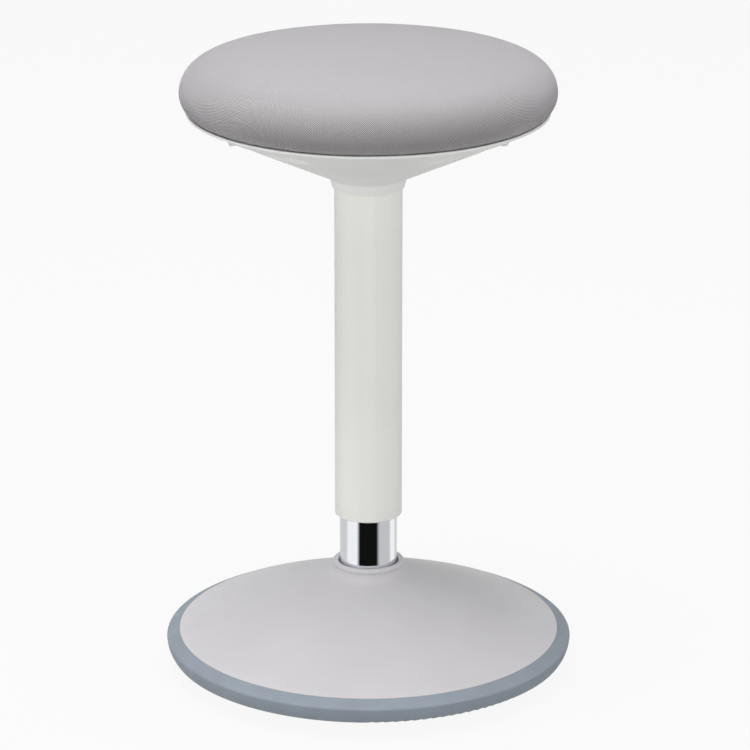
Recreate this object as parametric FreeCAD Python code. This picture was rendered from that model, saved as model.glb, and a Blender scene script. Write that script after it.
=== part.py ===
import FreeCAD, Part
import math
import os

# Height-adjustable wobble stool. Lengths in mm, angles in degrees, +Z up.
# The origin is on the floor, on the column's axis, and -Y is the front.
# Heights are given with the seat at its lowest position.

V = FreeCAD.Vector

# Running and seating clearances
SEAT_GAP = 0.1
SLIDE_GAP = 0.05
CONTACT_GAP = 0.3
HEAD_GAP = 0.4

# Base: a rubber ring round a domed cover, over a cast weight on a rocking underside
BASE_RADIUS = 178.5
RING_WIDTH = 11.2
RING_TOP_HEIGHT = 28.8
RING_BOTTOM_HEIGHT = 14.4
RING_TONGUE = 9.0
RING_TONGUE_THICKNESS = 4.0
COVER_EDGE_HEIGHT = 34.0
COVER_WALL = 3.0
COVER_SLOPE = 21.2
COVER_CROWN = 0.4
COVER_RIB_COUNT = 12
COVER_RIB_THICKNESS = 2.0
HUB_GAP = 1.4
FLARE_RADIUS = 14.0
FLARE_START = 38.5
FLARE_TOP_SLOPE = 72.0
LIP_RISE = 4.6
FOOT_RADIUS = 42.0
ROCKING_RADIUS = 560.0
PLATE_WALL = 3.5
PAD_INSET = 62.3
PAD_THICKNESS = 3.0
PAD_GROOVE_COUNT = 3
PAD_GROOVE_START = 8.0
PAD_GROOVE_WIDTH = 3.0
PAD_GROOVE_DEPTH = 1.2
PAD_GROOVE_PITCH = 16.0
WEIGHT_INSET = 1.0
WEIGHT_TOP = 24.0
WEIGHT_BEVEL = 3.0
BASE_SCREW_COUNT = 6
BASE_SCREW_INSET = 17.3
BASE_SCREW_LENGTH = 18.0
BASE_SCREW_SEAT = 1.8
BOSS_RADIUS = 5.0
WEIGHT_SCREW_COUNT = 4
WEIGHT_SCREW_INSET = 21.0

# Column: fixed tube, its socket and the plastic guide in its mouth
TUBE_RADIUS = 25.0
TUBE_WALL = 2.0
TUBE_BOTTOM = 30.0
TUBE_CLEARANCE = 71.0
TUBE_TAPER = 0.8
TUBE_BEVEL = 0.5
SOCKET_TOP = 74.0
SOCKET_WALL = 3.8
SOCKET_FLANGE_WIDTH = 35.0
SOCKET_FLANGE_THICKNESS = 5.0
SOCKET_WELD = 4.0
SOCKET_BOLT_COUNT = 4
SOCKET_BOLT_INSET = 14.0
SOCKET_BOLT_DEPTH = 12.0
GUIDE_LENGTH = 80.0
GUIDE_FLANGE = 3.0
GUIDE_FLANGE_INSET = 0.3
GUIDE_BEVEL = 1.0

# Gas lift: the rod stands in the tube and the cylinder rises with the seat
LIFT_TRAVEL = 200.0
ROD_RADIUS = 5.0
ROD_TAIL = 6.0
NECK_RADIUS = 4.0
NECK_TAIL = 2.0
END_PLATE_HEIGHT = 33.0
END_PLATE_THICKNESS = 4.0
WASHER_RADIUS = 13.0
WASHER_THICKNESS = 1.5
LOWER_WASHER_GAP = 0.6
CAGE_INSET = 0.5
CAGE_THICKNESS = 3.5
CAGE_GROOVE = 0.7
CLIP_THICKNESS = 1.6
CLIP_WIDTH = 4.5
STOP_RADIUS = 12.0
STOP_WAIST = 1.5
CYLINDER_RADIUS = 14.0
CYLINDER_WALL = 1.8
CYLINDER_BOTTOM = 60.0
CYLINDER_RISE = 8.0
CYLINDER_TAPER = 1.0
CYLINDER_BEVEL = 0.6
TAPER_LENGTH = 38.0
GLAND_LENGTH = 14.0
PISTON_LENGTH = 14.0
PISTON_MARGIN = 4.0
PISTON_GROOVE_WIDTH = 2.0
PISTON_GROOVE_DEPTH = 1.2
PISTON_GROOVE_INSET = 3.0

# Sleeve that hangs from the seat and covers the column
SLEEVE_RADIUS = 29.3
SLEEVE_WALL = 1.9
SLEEVE_BOTTOM = 140.6
SLEEVE_ROLL = 1.4
SLEEVE_BUSH_INSET = 4.0
SLEEVE_BUSH_LENGTH = 24.0
SLEEVE_BUSH_BEVEL = 0.6
PLUG_LENGTH = 8.0
PLUG_FLANGE = 2.0
PLUG_BEVEL = 1.0
PLUG_CATCH_WIDTH = 3.0
PLUG_CATCH_LENGTH = 6.0

# Seat: fabric over foam on a plywood board
SEAT_TOP = 565.0
SEAT_RADIUS = 161.5
SEAT_CROWN = 42.5
CROWN_SHOULDER = 25.0
SIDE_ARC = 17.6
SIDE_ANGLE = 45.0
TUCK_ARC = 4.97
COVER_CLOTH = 1.2
CLOTH_HEM = 24.0
BOARD_INSET = 13.5
BOARD_THICKNESS = 12.0
BOARD_ROUND = 2.0
STAPLE_COUNT = 16
STAPLE_WIRE = 0.6
STAPLE_LENGTH = 10.0

# Conical shell under the seat, with a window on each side for a paddle
SHELL_INSET = 5.9
SHELL_GAP = 0.6
SHELL_DEPTH = 60.0
SHELL_RIM_HEIGHT = 2.1
SHELL_RIM_WIDTH = 4.5
SHELL_RIM_ROUND = 0.6
SHELL_WALL = 3.0
COLLAR_LENGTH = 9.5
COLLAR_GAP = 0.7
COLLAR_LIP = 1.2
COLLAR_DRAFT = 2.4
COLLAR_FILLET = 3.0
WINDOW_BAND = 19.6
WINDOW_WIDTH = 23.5
WINDOW_HALF_ANGLE = 66.5
WINDOW_CORNER = 8.0
WINDOW_LIP = 2.4
WINDOW_LIP_WALL = 1.8
SHELL_SCREW_RADIUS = 90.0
SHELL_SCREW_ANGLE = 28.0
SHELL_SCREW_SINK = 4.0
SHELL_SCREW_GRIP = 8.0
SHELL_RIB_SPREAD = 15.0
SHELL_RIB_THICKNESS = 2.0
SHELL_RIB_START = 66.5
SHELL_RIB_MARGIN = 7.0
SHELL_RIB_TOP_MARGIN = 3.0

# Pressed bracket between the board and the gas lift
BRACKET_SHEET = 2.4
BRACKET_DEPTH = 51.7
BRACKET_HALF_WIDTH = 32.5
BRACKET_HALF_FLOOR = 28.0
BRACKET_HALF_LENGTH = 56.0
BRACKET_FLANGE = 24.0
BRACKET_CORNER = 9.0
BRACKET_KNEE_RISE = 16.0
BOLT_X = 40.0
BOLT_Y = 45.0
BOLT_REACH = 9.5
TAPER_SOCKET_DROP = 10.0
TAPER_SOCKET_WALL = 3.5
TAPER_SOCKET_RISE = 2.0

# Release paddles, their pivots and the valve that they press
PIVOT_X = 45.0
PIVOT_RISE = 24.0
PIVOT_PIN_RADIUS = 2.5
PIVOT_PIN_OVERHANG = 3.5
PIVOT_BARREL_RADIUS = 6.5
PIVOT_SIDE_GAP = 0.5
PIVOT_CLIP_WIDTH = 2.5
PIVOT_CLIP_THICKNESS = 1.2
WINDOW_GAP = 1.4
PADDLE_WIDTH = 7.5
PADDLE_SKIN = 2.4
PADDLE_DROP = 0.5
PADDLE_HEIGHT = 10.5
PADDLE_ROUND = 2.0
PADDLE_HALF_ANGLE = 13.5
PADDLE_RIB_COUNT = 5
PADDLE_RIB_HALF_ANGLE = 0.5
ARM_HALF_WIDTH = 12.0
ARM_THICKNESS = 6.0
ARM_CLEARANCE = 0.8
ARM_WAIST = 4.0
NOSE_X = 5.0
NOSE_LENGTH = 8.0
VALVE_CAP_RISE = 10.0
VALVE_CAP_RADIUS = 7.0
VALVE_CAP_THICKNESS = 5.0
VALVE_CAP_CROWN = 1.5
VALVE_PIN_RADIUS = 3.0
VALVE_PIN_LENGTH = 36.0
VALVE_STROKE = 3.2

# Fasteners
SCREW_SHANK = 2.0
SCREW_HEAD = 4.0
SCREW_HEAD_HEIGHT = 2.4
BOLT_SHANK = 3.0
BOLT_HEAD = 5.5
BOLT_HEAD_HEIGHT = 4.0
NUT_BARREL = 4.6
NUT_FLANGE = 9.5
NUT_FLANGE_THICKNESS = 1.5

# Sizes that follow from the ones above
COVER_RADIUS = BASE_RADIUS - RING_WIDTH
PAD_RADIUS = COVER_RADIUS - PAD_INSET
WEIGHT_RADIUS = PAD_RADIUS - WEIGHT_INSET
BASE_SCREW_CIRCLE = COVER_RADIUS - BASE_SCREW_INSET
WEIGHT_SCREW_CIRCLE = PAD_RADIUS - WEIGHT_SCREW_INSET
SOCKET_FLANGE_RADIUS = TUBE_RADIUS + SOCKET_FLANGE_WIDTH
SOCKET_BOLT_CIRCLE = SOCKET_FLANGE_RADIUS - SOCKET_BOLT_INSET
SIDE_SINE = math.sin(math.radians(SIDE_ANGLE))
WIDEST_HEIGHT = SEAT_TOP - SEAT_CROWN
CLOTH_UNDERSIDE = WIDEST_HEIGHT - SIDE_ARC * SIDE_SINE - TUCK_ARC * (1 - SIDE_SINE)
BOARD_RADIUS = SEAT_RADIUS - BOARD_INSET
BOARD_BOTTOM = CLOTH_UNDERSIDE + COVER_CLOTH
BOARD_TOP = BOARD_BOTTOM + BOARD_THICKNESS
BRACKET_TOP = BOARD_BOTTOM - SEAT_GAP
BRACKET_BOTTOM = BRACKET_TOP - BRACKET_DEPTH
BRACKET_KNEE = BRACKET_BOTTOM + BRACKET_KNEE_RISE
TAPER_SOCKET_BOTTOM = BRACKET_BOTTOM - TAPER_SOCKET_DROP
CYLINDER_TOP = BRACKET_BOTTOM + CYLINDER_RISE
VALVE_CAP_TOP = CYLINDER_TOP + VALVE_CAP_RISE
SLEEVE_TOP = TAPER_SOCKET_BOTTOM - PLUG_FLANGE
TUBE_TOP = SLEEVE_TOP - TUBE_CLEARANCE
SHELL_RADIUS = SEAT_RADIUS - SHELL_INSET
SHELL_RIM_TOP = CLOTH_UNDERSIDE - SHELL_GAP
COLLAR_TOP = SHELL_RIM_TOP - SHELL_DEPTH
COLLAR_BOTTOM = COLLAR_TOP - COLLAR_LENGTH
COLLAR_BORE = SLEEVE_RADIUS + COLLAR_GAP
COLLAR_RADIUS = COLLAR_BORE + COLLAR_LIP + COLLAR_DRAFT
WINDOW_OUTER = SHELL_RADIUS - WINDOW_BAND
WINDOW_INNER = WINDOW_OUTER - WINDOW_WIDTH
PADDLE_INNER = WINDOW_INNER + WINDOW_GAP
PADDLE_OUTER = PADDLE_INNER + PADDLE_WIDTH
PIVOT_HEIGHT = BRACKET_BOTTOM + PIVOT_RISE
PADDLE_BOTTOM = PIVOT_HEIGHT - PADDLE_DROP
PADDLE_FRONT_TOP = PADDLE_BOTTOM + PADDLE_HEIGHT
SCREW = (SCREW_SHANK, SCREW_HEAD, SCREW_HEAD_HEIGHT)
BOLT = (BOLT_SHANK, BOLT_HEAD, BOLT_HEAD_HEIGHT)


class Outline:
    """A closed outline in the half plane of radius r and height z."""

    def __init__(self, r, z):
        self.start = V(r, 0, z)
        self.at = self.start
        self.edges = []

    def line(self, r, z):
        end = V(r, 0, z)
        self.edges.append(Part.LineSegment(self.at, end).toShape())
        self.at = end
        return self

    def arc(self, through_r, through_z, r, z):
        end = V(r, 0, z)
        self.edges.append(Part.Arc(self.at, V(through_r, 0, through_z), end).toShape())
        self.at = end
        return self

    def face(self):
        if (self.at - self.start).Length > 1e-6:
            self.line(self.start.x, self.start.z)
        return Part.Face(Part.Wire(self.edges))

    def revolve(self):
        return self.face().revolve(V(0, 0, 0), V(0, 0, 1), 360)

    def sector(self, middle, half_angle):
        """The outline swept about the axis, half_angle to each side of the middle azimuth."""
        shape = self.face().revolve(V(0, 0, 0), V(0, 0, 1), 2 * half_angle)
        shape.rotate(V(0, 0, 0), V(0, 0, 1), middle - half_angle)
        return shape


def disc(radius, bottom, top, x=0.0, y=0.0):
    return Part.makeCylinder(radius, top - bottom, V(x, y, bottom))


def ring(inner, outer, bottom, top):
    return disc(outer, bottom, top).cut(disc(inner, bottom, top))


def around(count, radius, first=0.0):
    """Points on a circle about the axis, evenly spaced from the first azimuth."""
    step = 360.0 / count
    turns = [math.radians(first + step * i) for i in range(count)]
    return [(radius * math.cos(turn), radius * math.sin(turn)) for turn in turns]


def turned(shape, angle):
    copy = shape.copy()
    copy.rotate(V(0, 0, 0), V(0, 0, 1), angle)
    return copy


def fused(shapes):
    return shapes[0].multiFuse(shapes[1:]).removeSplitter()


def group(shapes):
    return Part.makeCompound(shapes)


def screw(size, head_bottom, tip, x, y):
    """A fastener whose head rests on head_bottom or hangs under it, on the side away from its tip."""
    shank, head, height = size
    if tip > head_bottom:
        cap = disc(head, head_bottom - height, head_bottom, x, y)
        cap = cap.makeChamfer(height * 0.3, [cap.Edges[2]])
        return cap.fuse(disc(shank, head_bottom - SLIDE_GAP, tip, x, y)).removeSplitter()
    cap = disc(head, head_bottom, head_bottom + height, x, y)
    cap = cap.makeChamfer(height * 0.3, [cap.Edges[0]])
    return cap.fuse(disc(shank, tip, head_bottom + SLIDE_GAP, x, y)).removeSplitter()


# Heights of the surfaces that other pieces are seated on
def rocking_height(r):
    """The rocking underside: flat under the foot, then an arc tangent to the floor."""
    if r <= FOOT_RADIUS:
        return 0.0
    return ROCKING_RADIUS - math.sqrt(ROCKING_RADIUS ** 2 - (r - FOOT_RADIUS) ** 2)


def rocking_outline(outline, rise, r_from, r_to):
    """Follow the underside at a constant rise above it, inward or outward."""
    middle = (r_from + r_to) / 2
    return outline.arc(middle, rocking_height(middle) + rise, r_to, rocking_height(r_to) + rise)


SHELL_TAN = (SHELL_RIM_TOP - SHELL_RIM_HEIGHT - COLLAR_TOP) / (SHELL_RADIUS - COLLAR_RADIUS)
SHELL_DROP = SHELL_WALL / math.cos(math.atan(SHELL_TAN))


def cone_height(r):
    """Outer face of the conical shell."""
    return COLLAR_TOP + (r - COLLAR_RADIUS) * SHELL_TAN


def cone_inside(r):
    return cone_height(r) + SHELL_DROP


def tube_outside(z):
    """Radius of the column tube, which narrows below the top of its socket."""
    if z >= SOCKET_TOP:
        return TUBE_RADIUS
    return TUBE_RADIUS - TUBE_TAPER * (SOCKET_TOP - z) / (SOCKET_TOP - TUBE_BOTTOM)


def cylinder_outside(z):
    """Radius of the gas cylinder, which narrows towards its top."""
    start = CYLINDER_TOP - TAPER_LENGTH
    if z <= start:
        return CYLINDER_RADIUS
    return CYLINDER_RADIUS - CYLINDER_TAPER * (z - start) / TAPER_LENGTH


# Dome of the base cover, from its lower edge to the flare of the hub
FLARE_HEIGHT = COVER_EDGE_HEIGHT + (COVER_RADIUS - FLARE_START) * math.tan(math.radians(COVER_SLOPE))
DOME_SPAN = math.hypot(COVER_RADIUS - FLARE_START, FLARE_HEIGHT - COVER_EDGE_HEIGHT)
DOME_RADIUS = (DOME_SPAN ** 2 / 4 + COVER_CROWN ** 2) / (2 * COVER_CROWN)
DOME_HALF_TURN = math.degrees(math.asin(DOME_SPAN / 2 / DOME_RADIUS))
HUB_BORE = TUBE_RADIUS + HUB_GAP
RING_SEAM = COVER_EDGE_HEIGHT - 0.4
PLATE_RADIUS = COVER_RADIUS - COVER_WALL / 2
TONGUE_BOTTOM = rocking_height(PLATE_RADIUS) + PLATE_WALL + SEAT_GAP
TONGUE_TOP = TONGUE_BOTTOM + RING_TONGUE_THICKNESS


def dome_point(share, inset):
    """A point on the dome, from its edge (share 0) to the flare (share 1), moved inward by inset."""
    turn = COVER_SLOPE + DOME_HALF_TURN * (1 - 2 * share)
    middle = V((COVER_RADIUS + FLARE_START) / 2, 0, (COVER_EDGE_HEIGHT + FLARE_HEIGHT) / 2)
    slope = math.radians(COVER_SLOPE)
    back = DOME_RADIUS - COVER_CROWN
    centre = middle - V(math.sin(slope), 0, math.cos(slope)) * back
    turn = math.radians(turn)
    return centre + V(math.sin(turn), 0, math.cos(turn)) * (DOME_RADIUS - inset)


def flare_point(turn, inset):
    """A point on the hollow flare, at the given slope in degrees, moved inward by inset."""
    start = dome_point(1, 0)
    slope = math.radians(COVER_SLOPE - DOME_HALF_TURN)
    centre = start + V(math.sin(slope), 0, math.cos(slope)) * FLARE_RADIUS
    turn = math.radians(turn)
    return centre - V(math.sin(turn), 0, math.cos(turn)) * (FLARE_RADIUS + inset)


def base_cover():
    flare_slope = COVER_SLOPE - DOME_HALF_TURN
    outer_edge = dome_point(0, 0)
    outer_mid = dome_point(0.5, 0)
    outer_end = dome_point(1, 0)
    flare_mid = flare_point((flare_slope + FLARE_TOP_SLOPE) / 2, 0)
    flare_end = flare_point(FLARE_TOP_SLOPE, 0)
    lip_top = flare_end.z + LIP_RISE
    lip_crest = (HUB_BORE + flare_end.x) / 2
    inner_edge = dome_point(0, COVER_WALL)
    inner_mid = dome_point(0.5, COVER_WALL)
    inner_end = dome_point(1, COVER_WALL)
    skirt_inner = COVER_RADIUS - COVER_WALL
    skirt_bottom = TONGUE_TOP + SEAT_GAP
    outline = Outline(outer_edge.x, outer_edge.z)
    outline.arc(outer_mid.x, outer_mid.z, outer_end.x, outer_end.z)
    outline.arc(flare_mid.x, flare_mid.z, flare_end.x, flare_end.z)
    outline.arc(lip_crest, lip_top, HUB_BORE, lip_top - COVER_WALL / 2)
    outline.line(HUB_BORE, inner_end.z - COVER_WALL)
    outline.line(HUB_BORE + COVER_WALL, inner_end.z - COVER_WALL)
    outline.line(HUB_BORE + COVER_WALL, inner_end.z)
    outline.line(inner_end.x, inner_end.z)
    outline.arc(inner_mid.x, inner_mid.z, inner_edge.x, inner_edge.z)
    outline.line(skirt_inner, inner_edge.z - COVER_WALL / 3)
    outline.line(skirt_inner, skirt_bottom)
    outline.line(COVER_RADIUS, skirt_bottom)
    cover = outline.revolve()

    # stiffening ribs and screw bosses, trimmed to the dome's inner face
    overlap = COVER_WALL / 6
    rib_inner = SOCKET_FLANGE_RADIUS + 4 * COVER_RIB_THICKNESS
    rib_outer = BASE_SCREW_CIRCLE - 6 * COVER_RIB_THICKNESS
    under_dome = Outline(0, 0)
    under_dome.line(0, inner_end.z + overlap)
    under_dome.line(inner_end.x, inner_end.z + overlap)
    under_dome.arc(inner_mid.x, inner_mid.z + overlap, inner_edge.x, inner_edge.z + overlap)
    under_dome.line(inner_edge.x, 0)
    dome_space = under_dome.revolve()
    rib_space = Outline(rib_inner, dome_point(1, 5 * COVER_WALL).z)
    rib_space.line(rib_outer, dome_point(0, 3 * COVER_WALL).z)
    rib_space.line(rib_outer, FLARE_HEIGHT)
    rib_space.line(rib_inner, FLARE_HEIGHT)
    rib = Part.makeBox(rib_outer, COVER_RIB_THICKNESS, FLARE_HEIGHT, V(0, -COVER_RIB_THICKNESS / 2, 0))
    rib = rib.common(rib_space.revolve()).common(dome_space)
    ribs = [turned(rib, 360.0 / COVER_RIB_COUNT * (i + 0.5)) for i in range(COVER_RIB_COUNT)]
    boss_bottom = rocking_height(BASE_SCREW_CIRCLE + BOSS_RADIUS) + PLATE_WALL + SEAT_GAP
    places = around(BASE_SCREW_COUNT, BASE_SCREW_CIRCLE)
    bosses = [disc(BOSS_RADIUS, boss_bottom, FLARE_HEIGHT, x, y).common(dome_space) for x, y in places]
    cover = fused([cover] + ribs + bosses)
    pilots = [disc(SCREW_SHANK + SLIDE_GAP, boss_bottom, boss_bottom + BASE_SCREW_LENGTH, x, y)
              for x, y in places]
    return cover.cut(group(pilots))


def bumper_ring():
    """Rubber ring round the base, held by a tongue between the cover and the rocker plate."""
    inner = COVER_RADIUS + SEAT_GAP
    outer = BASE_RADIUS
    roll = RING_WIDTH / 9
    lean = RING_WIDTH / 3
    belly = (RING_TOP_HEIGHT + RING_BOTTOM_HEIGHT) / 2
    plate_edge = PLATE_RADIUS + SEAT_GAP
    outline = Outline(inner, RING_SEAM)
    outline.line(outer - roll, RING_TOP_HEIGHT + roll / 3)
    outline.arc(outer - roll / 5, RING_TOP_HEIGHT - roll / 3, outer, RING_TOP_HEIGHT - 2 * roll)
    outline.arc(outer - roll, belly - roll, outer - lean, RING_BOTTOM_HEIGHT + roll)
    outline.arc(outer - lean - roll / 2, RING_BOTTOM_HEIGHT + roll / 4, outer - lean - 2 * roll, RING_BOTTOM_HEIGHT)
    outline.line(plate_edge, rocking_height(plate_edge))
    outline.line(plate_edge, TONGUE_BOTTOM)
    outline.line(inner - RING_TONGUE, TONGUE_BOTTOM)
    outline.line(inner - RING_TONGUE, TONGUE_TOP)
    outline.line(inner, TONGUE_TOP)
    return outline.revolve()


def rocker_plate():
    """Moulded underside: a shallow dish with a recess for the rubber pad."""
    edge = PLATE_RADIUS
    recess = PAD_RADIUS + SEAT_GAP
    step = recess + PLATE_WALL
    floor = PAD_THICKNESS + SEAT_GAP
    hole = TUBE_RADIUS
    outline = Outline(edge, rocking_height(edge))
    rocking_outline(outline, 0, edge, recess)
    outline.line(recess, rocking_height(recess) + floor)
    rocking_outline(outline, floor, recess, FOOT_RADIUS)
    outline.line(hole, floor)
    outline.line(hole, floor + PLATE_WALL)
    outline.line(FOOT_RADIUS, floor + PLATE_WALL)
    rocking_outline(outline, floor + PLATE_WALL, FOOT_RADIUS, step)
    outline.line(step, rocking_height(step) + PLATE_WALL)
    rocking_outline(outline, PLATE_WALL, step, edge)
    plate = outline.revolve()
    shank, head = SCREW_SHANK, SCREW_HEAD
    cuts = []
    for x, y in around(BASE_SCREW_COUNT, BASE_SCREW_CIRCLE):
        seat = rocking_height(BASE_SCREW_CIRCLE) + BASE_SCREW_SEAT
        cuts.append(disc(shank + SEAT_GAP, 0, WEIGHT_TOP, x, y))
        cuts.append(disc(head + HEAD_GAP, 0, seat, x, y))
    for x, y in around(WEIGHT_SCREW_COUNT, WEIGHT_SCREW_CIRCLE, 45):
        cuts.append(disc(shank + SEAT_GAP, 0, WEIGHT_TOP, x, y))
        cuts.append(disc(head + HEAD_GAP, 0, weight_screw_seat(), x, y))
    return plate.cut(group(cuts))


def weight_screw_seat():
    """Where the heads of the weight's screws rest, inside the rocker plate."""
    return rocking_height(WEIGHT_SCREW_CIRCLE) + PAD_THICKNESS + SEAT_GAP + SCREW_HEAD_HEIGHT + CONTACT_GAP


def rocker_pad():
    """Rubber tread with a flat foot and grooves round it."""
    outline = Outline(0, 0)
    outline.line(FOOT_RADIUS, 0)
    rocking_outline(outline, 0, FOOT_RADIUS, PAD_RADIUS)
    outline.line(PAD_RADIUS, rocking_height(PAD_RADIUS) + PAD_THICKNESS)
    rocking_outline(outline, PAD_THICKNESS, PAD_RADIUS, FOOT_RADIUS)
    outline.line(0, PAD_THICKNESS)
    pad = outline.revolve()
    grooves = []
    for i in range(PAD_GROOVE_COUNT):
        inner = FOOT_RADIUS + PAD_GROOVE_START + PAD_GROOVE_PITCH * i
        top = rocking_height(inner) + PAD_GROOVE_DEPTH
        grooves.append(ring(inner, inner + PAD_GROOVE_WIDTH, 0, top))
    return pad.cut(group(grooves))


def base_weight():
    """Cast disc whose underside follows the dish that it lies in."""
    rise = PAD_THICKNESS + PLATE_WALL + 2 * SEAT_GAP
    hole = TUBE_RADIUS
    outline = Outline(hole, rise)
    outline.line(FOOT_RADIUS, rise)
    rocking_outline(outline, rise, FOOT_RADIUS, WEIGHT_RADIUS)
    outline.line(WEIGHT_RADIUS, WEIGHT_TOP - WEIGHT_BEVEL)
    outline.line(WEIGHT_RADIUS - WEIGHT_BEVEL, WEIGHT_TOP)
    outline.line(hole, WEIGHT_TOP)
    weight = outline.revolve()
    bolt_hole = WEIGHT_TOP - SOCKET_BOLT_DEPTH - HEAD_GAP
    cuts = [disc(BOLT_SHANK + SLIDE_GAP, bolt_hole, WEIGHT_TOP, x, y)
            for x, y in around(SOCKET_BOLT_COUNT, SOCKET_BOLT_CIRCLE)]
    cuts += [disc(SCREW_SHANK + SLIDE_GAP, 0, WEIGHT_TOP - WEIGHT_BEVEL, x, y)
             for x, y in around(WEIGHT_SCREW_COUNT, WEIGHT_SCREW_CIRCLE, 45)]
    return weight.cut(group(cuts))


def column_socket():
    """Steel hub with a taper bore for the column and a flange bolted to the weight."""
    bottom = WEIGHT_TOP + SEAT_GAP
    outer = TUBE_RADIUS + SOCKET_WALL
    bore_bottom = tube_outside(TUBE_BOTTOM) + SLIDE_GAP
    bore_top = TUBE_RADIUS + SLIDE_GAP
    outline = Outline(bore_bottom, bottom)
    outline.line(SOCKET_FLANGE_RADIUS, bottom)
    outline.line(SOCKET_FLANGE_RADIUS, bottom + SOCKET_FLANGE_THICKNESS)
    outline.line(outer + SOCKET_WELD, bottom + SOCKET_FLANGE_THICKNESS)
    outline.line(outer, bottom + SOCKET_FLANGE_THICKNESS + SOCKET_WELD)
    outline.line(outer, SOCKET_TOP)
    outline.line(bore_top, SOCKET_TOP)
    outline.line(bore_bottom, TUBE_BOTTOM)
    holes = [disc(BOLT_SHANK + SEAT_GAP, bottom, SOCKET_TOP, x, y)
             for x, y in around(SOCKET_BOLT_COUNT, SOCKET_BOLT_CIRCLE)]
    return outline.revolve().cut(group(holes))


def socket_bolts():
    seat = WEIGHT_TOP + SEAT_GAP + SOCKET_FLANGE_THICKNESS + SLIDE_GAP
    return group([screw(BOLT, seat, WEIGHT_TOP - SOCKET_BOLT_DEPTH, x, y)
                  for x, y in around(SOCKET_BOLT_COUNT, SOCKET_BOLT_CIRCLE)])


def base_screws():
    seat = rocking_height(BASE_SCREW_CIRCLE) + BASE_SCREW_SEAT - SLIDE_GAP
    return group([screw(SCREW, seat, seat + BASE_SCREW_LENGTH, x, y)
                  for x, y in around(BASE_SCREW_COUNT, BASE_SCREW_CIRCLE)])


def weight_screws():
    seat = weight_screw_seat() - SLIDE_GAP
    return group([screw(SCREW, seat, WEIGHT_TOP - 2 * WEIGHT_BEVEL, x, y)
                  for x, y in around(WEIGHT_SCREW_COUNT, WEIGHT_SCREW_CIRCLE, 45)])


def column_tube():
    inner = TUBE_RADIUS - TUBE_WALL
    outline = Outline(inner, TUBE_BOTTOM)
    outline.line(tube_outside(TUBE_BOTTOM), TUBE_BOTTOM)
    outline.line(TUBE_RADIUS, SOCKET_TOP)
    outline.line(TUBE_RADIUS, TUBE_TOP - TUBE_BEVEL)
    outline.line(TUBE_RADIUS - TUBE_BEVEL, TUBE_TOP)
    outline.line(inner, TUBE_TOP)
    return outline.revolve()


def guide_bush():
    """Long plastic bush in the tube's mouth that the gas cylinder slides in."""
    bore = CYLINDER_RADIUS + SLIDE_GAP
    outer = TUBE_RADIUS - TUBE_WALL - SLIDE_GAP
    seat = TUBE_TOP + SEAT_GAP
    outline = Outline(bore, TUBE_TOP - GUIDE_LENGTH)
    outline.line(outer, TUBE_TOP - GUIDE_LENGTH)
    outline.line(outer, seat)
    flange = TUBE_RADIUS - GUIDE_FLANGE_INSET
    outline.line(flange, seat)
    outline.line(flange, seat + GUIDE_FLANGE - GUIDE_BEVEL)
    outline.line(flange - GUIDE_BEVEL, seat + GUIDE_FLANGE)
    outline.line(bore + GUIDE_BEVEL, seat + GUIDE_FLANGE)
    outline.line(bore, seat + GUIDE_FLANGE - GUIDE_BEVEL)
    return outline.revolve()


def tube_end_plate():
    inner = ROD_RADIUS + SEAT_GAP
    outer = TUBE_RADIUS - TUBE_WALL - SLIDE_GAP
    return ring(inner, outer, END_PLATE_HEIGHT, END_PLATE_HEIGHT + END_PLATE_THICKNESS)


BEARING_BOTTOM = END_PLATE_HEIGHT + END_PLATE_THICKNESS + SEAT_GAP
CAGE_BOTTOM = BEARING_BOTTOM + WASHER_THICKNESS + SEAT_GAP
UPPER_WASHER = CAGE_BOTTOM + CAGE_THICKNESS + SEAT_GAP
STOP_BOTTOM = UPPER_WASHER + WASHER_THICKNESS + SEAT_GAP


def bearing_lower_washer():
    return ring(ROD_RADIUS + LOWER_WASHER_GAP, WASHER_RADIUS, BEARING_BOTTOM, BEARING_BOTTOM + WASHER_THICKNESS)


def bearing_cage():
    """Closed cage of the thrust bearing, with a groove round it."""
    inner = ROD_RADIUS + SLIDE_GAP
    outer = WASHER_RADIUS - CAGE_INSET
    middle = CAGE_BOTTOM + CAGE_THICKNESS / 2
    outline = Outline(inner, CAGE_BOTTOM)
    outline.line(outer, CAGE_BOTTOM)
    outline.line(outer, middle - CAGE_GROOVE)
    outline.line(outer - CAGE_GROOVE, middle)
    outline.line(outer, middle + CAGE_GROOVE)
    outline.line(outer, CAGE_BOTTOM + CAGE_THICKNESS)
    outline.line(inner, CAGE_BOTTOM + CAGE_THICKNESS)
    return outline.revolve()


def bearing_upper_washer():
    return ring(ROD_RADIUS + SLIDE_GAP, WASHER_RADIUS, UPPER_WASHER, UPPER_WASHER + WASHER_THICKNESS)


def bump_stop():
    """Rubber stop that the cylinder comes down on."""
    top = CYLINDER_BOTTOM - CONTACT_GAP
    inner = ROD_RADIUS + SLIDE_GAP
    middle = (STOP_BOTTOM + top) / 2
    outline = Outline(inner, STOP_BOTTOM)
    outline.line(STOP_RADIUS, STOP_BOTTOM)
    outline.arc(STOP_RADIUS - STOP_WAIST, middle, STOP_RADIUS, top)
    outline.line(inner, top)
    return outline.revolve()


PISTON_BOTTOM = CYLINDER_BOTTOM + GLAND_LENGTH + LIFT_TRAVEL + PISTON_MARGIN
ROD_BOTTOM = END_PLATE_HEIGHT - ROD_TAIL
CLIP_TOP = END_PLATE_HEIGHT - SEAT_GAP


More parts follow.
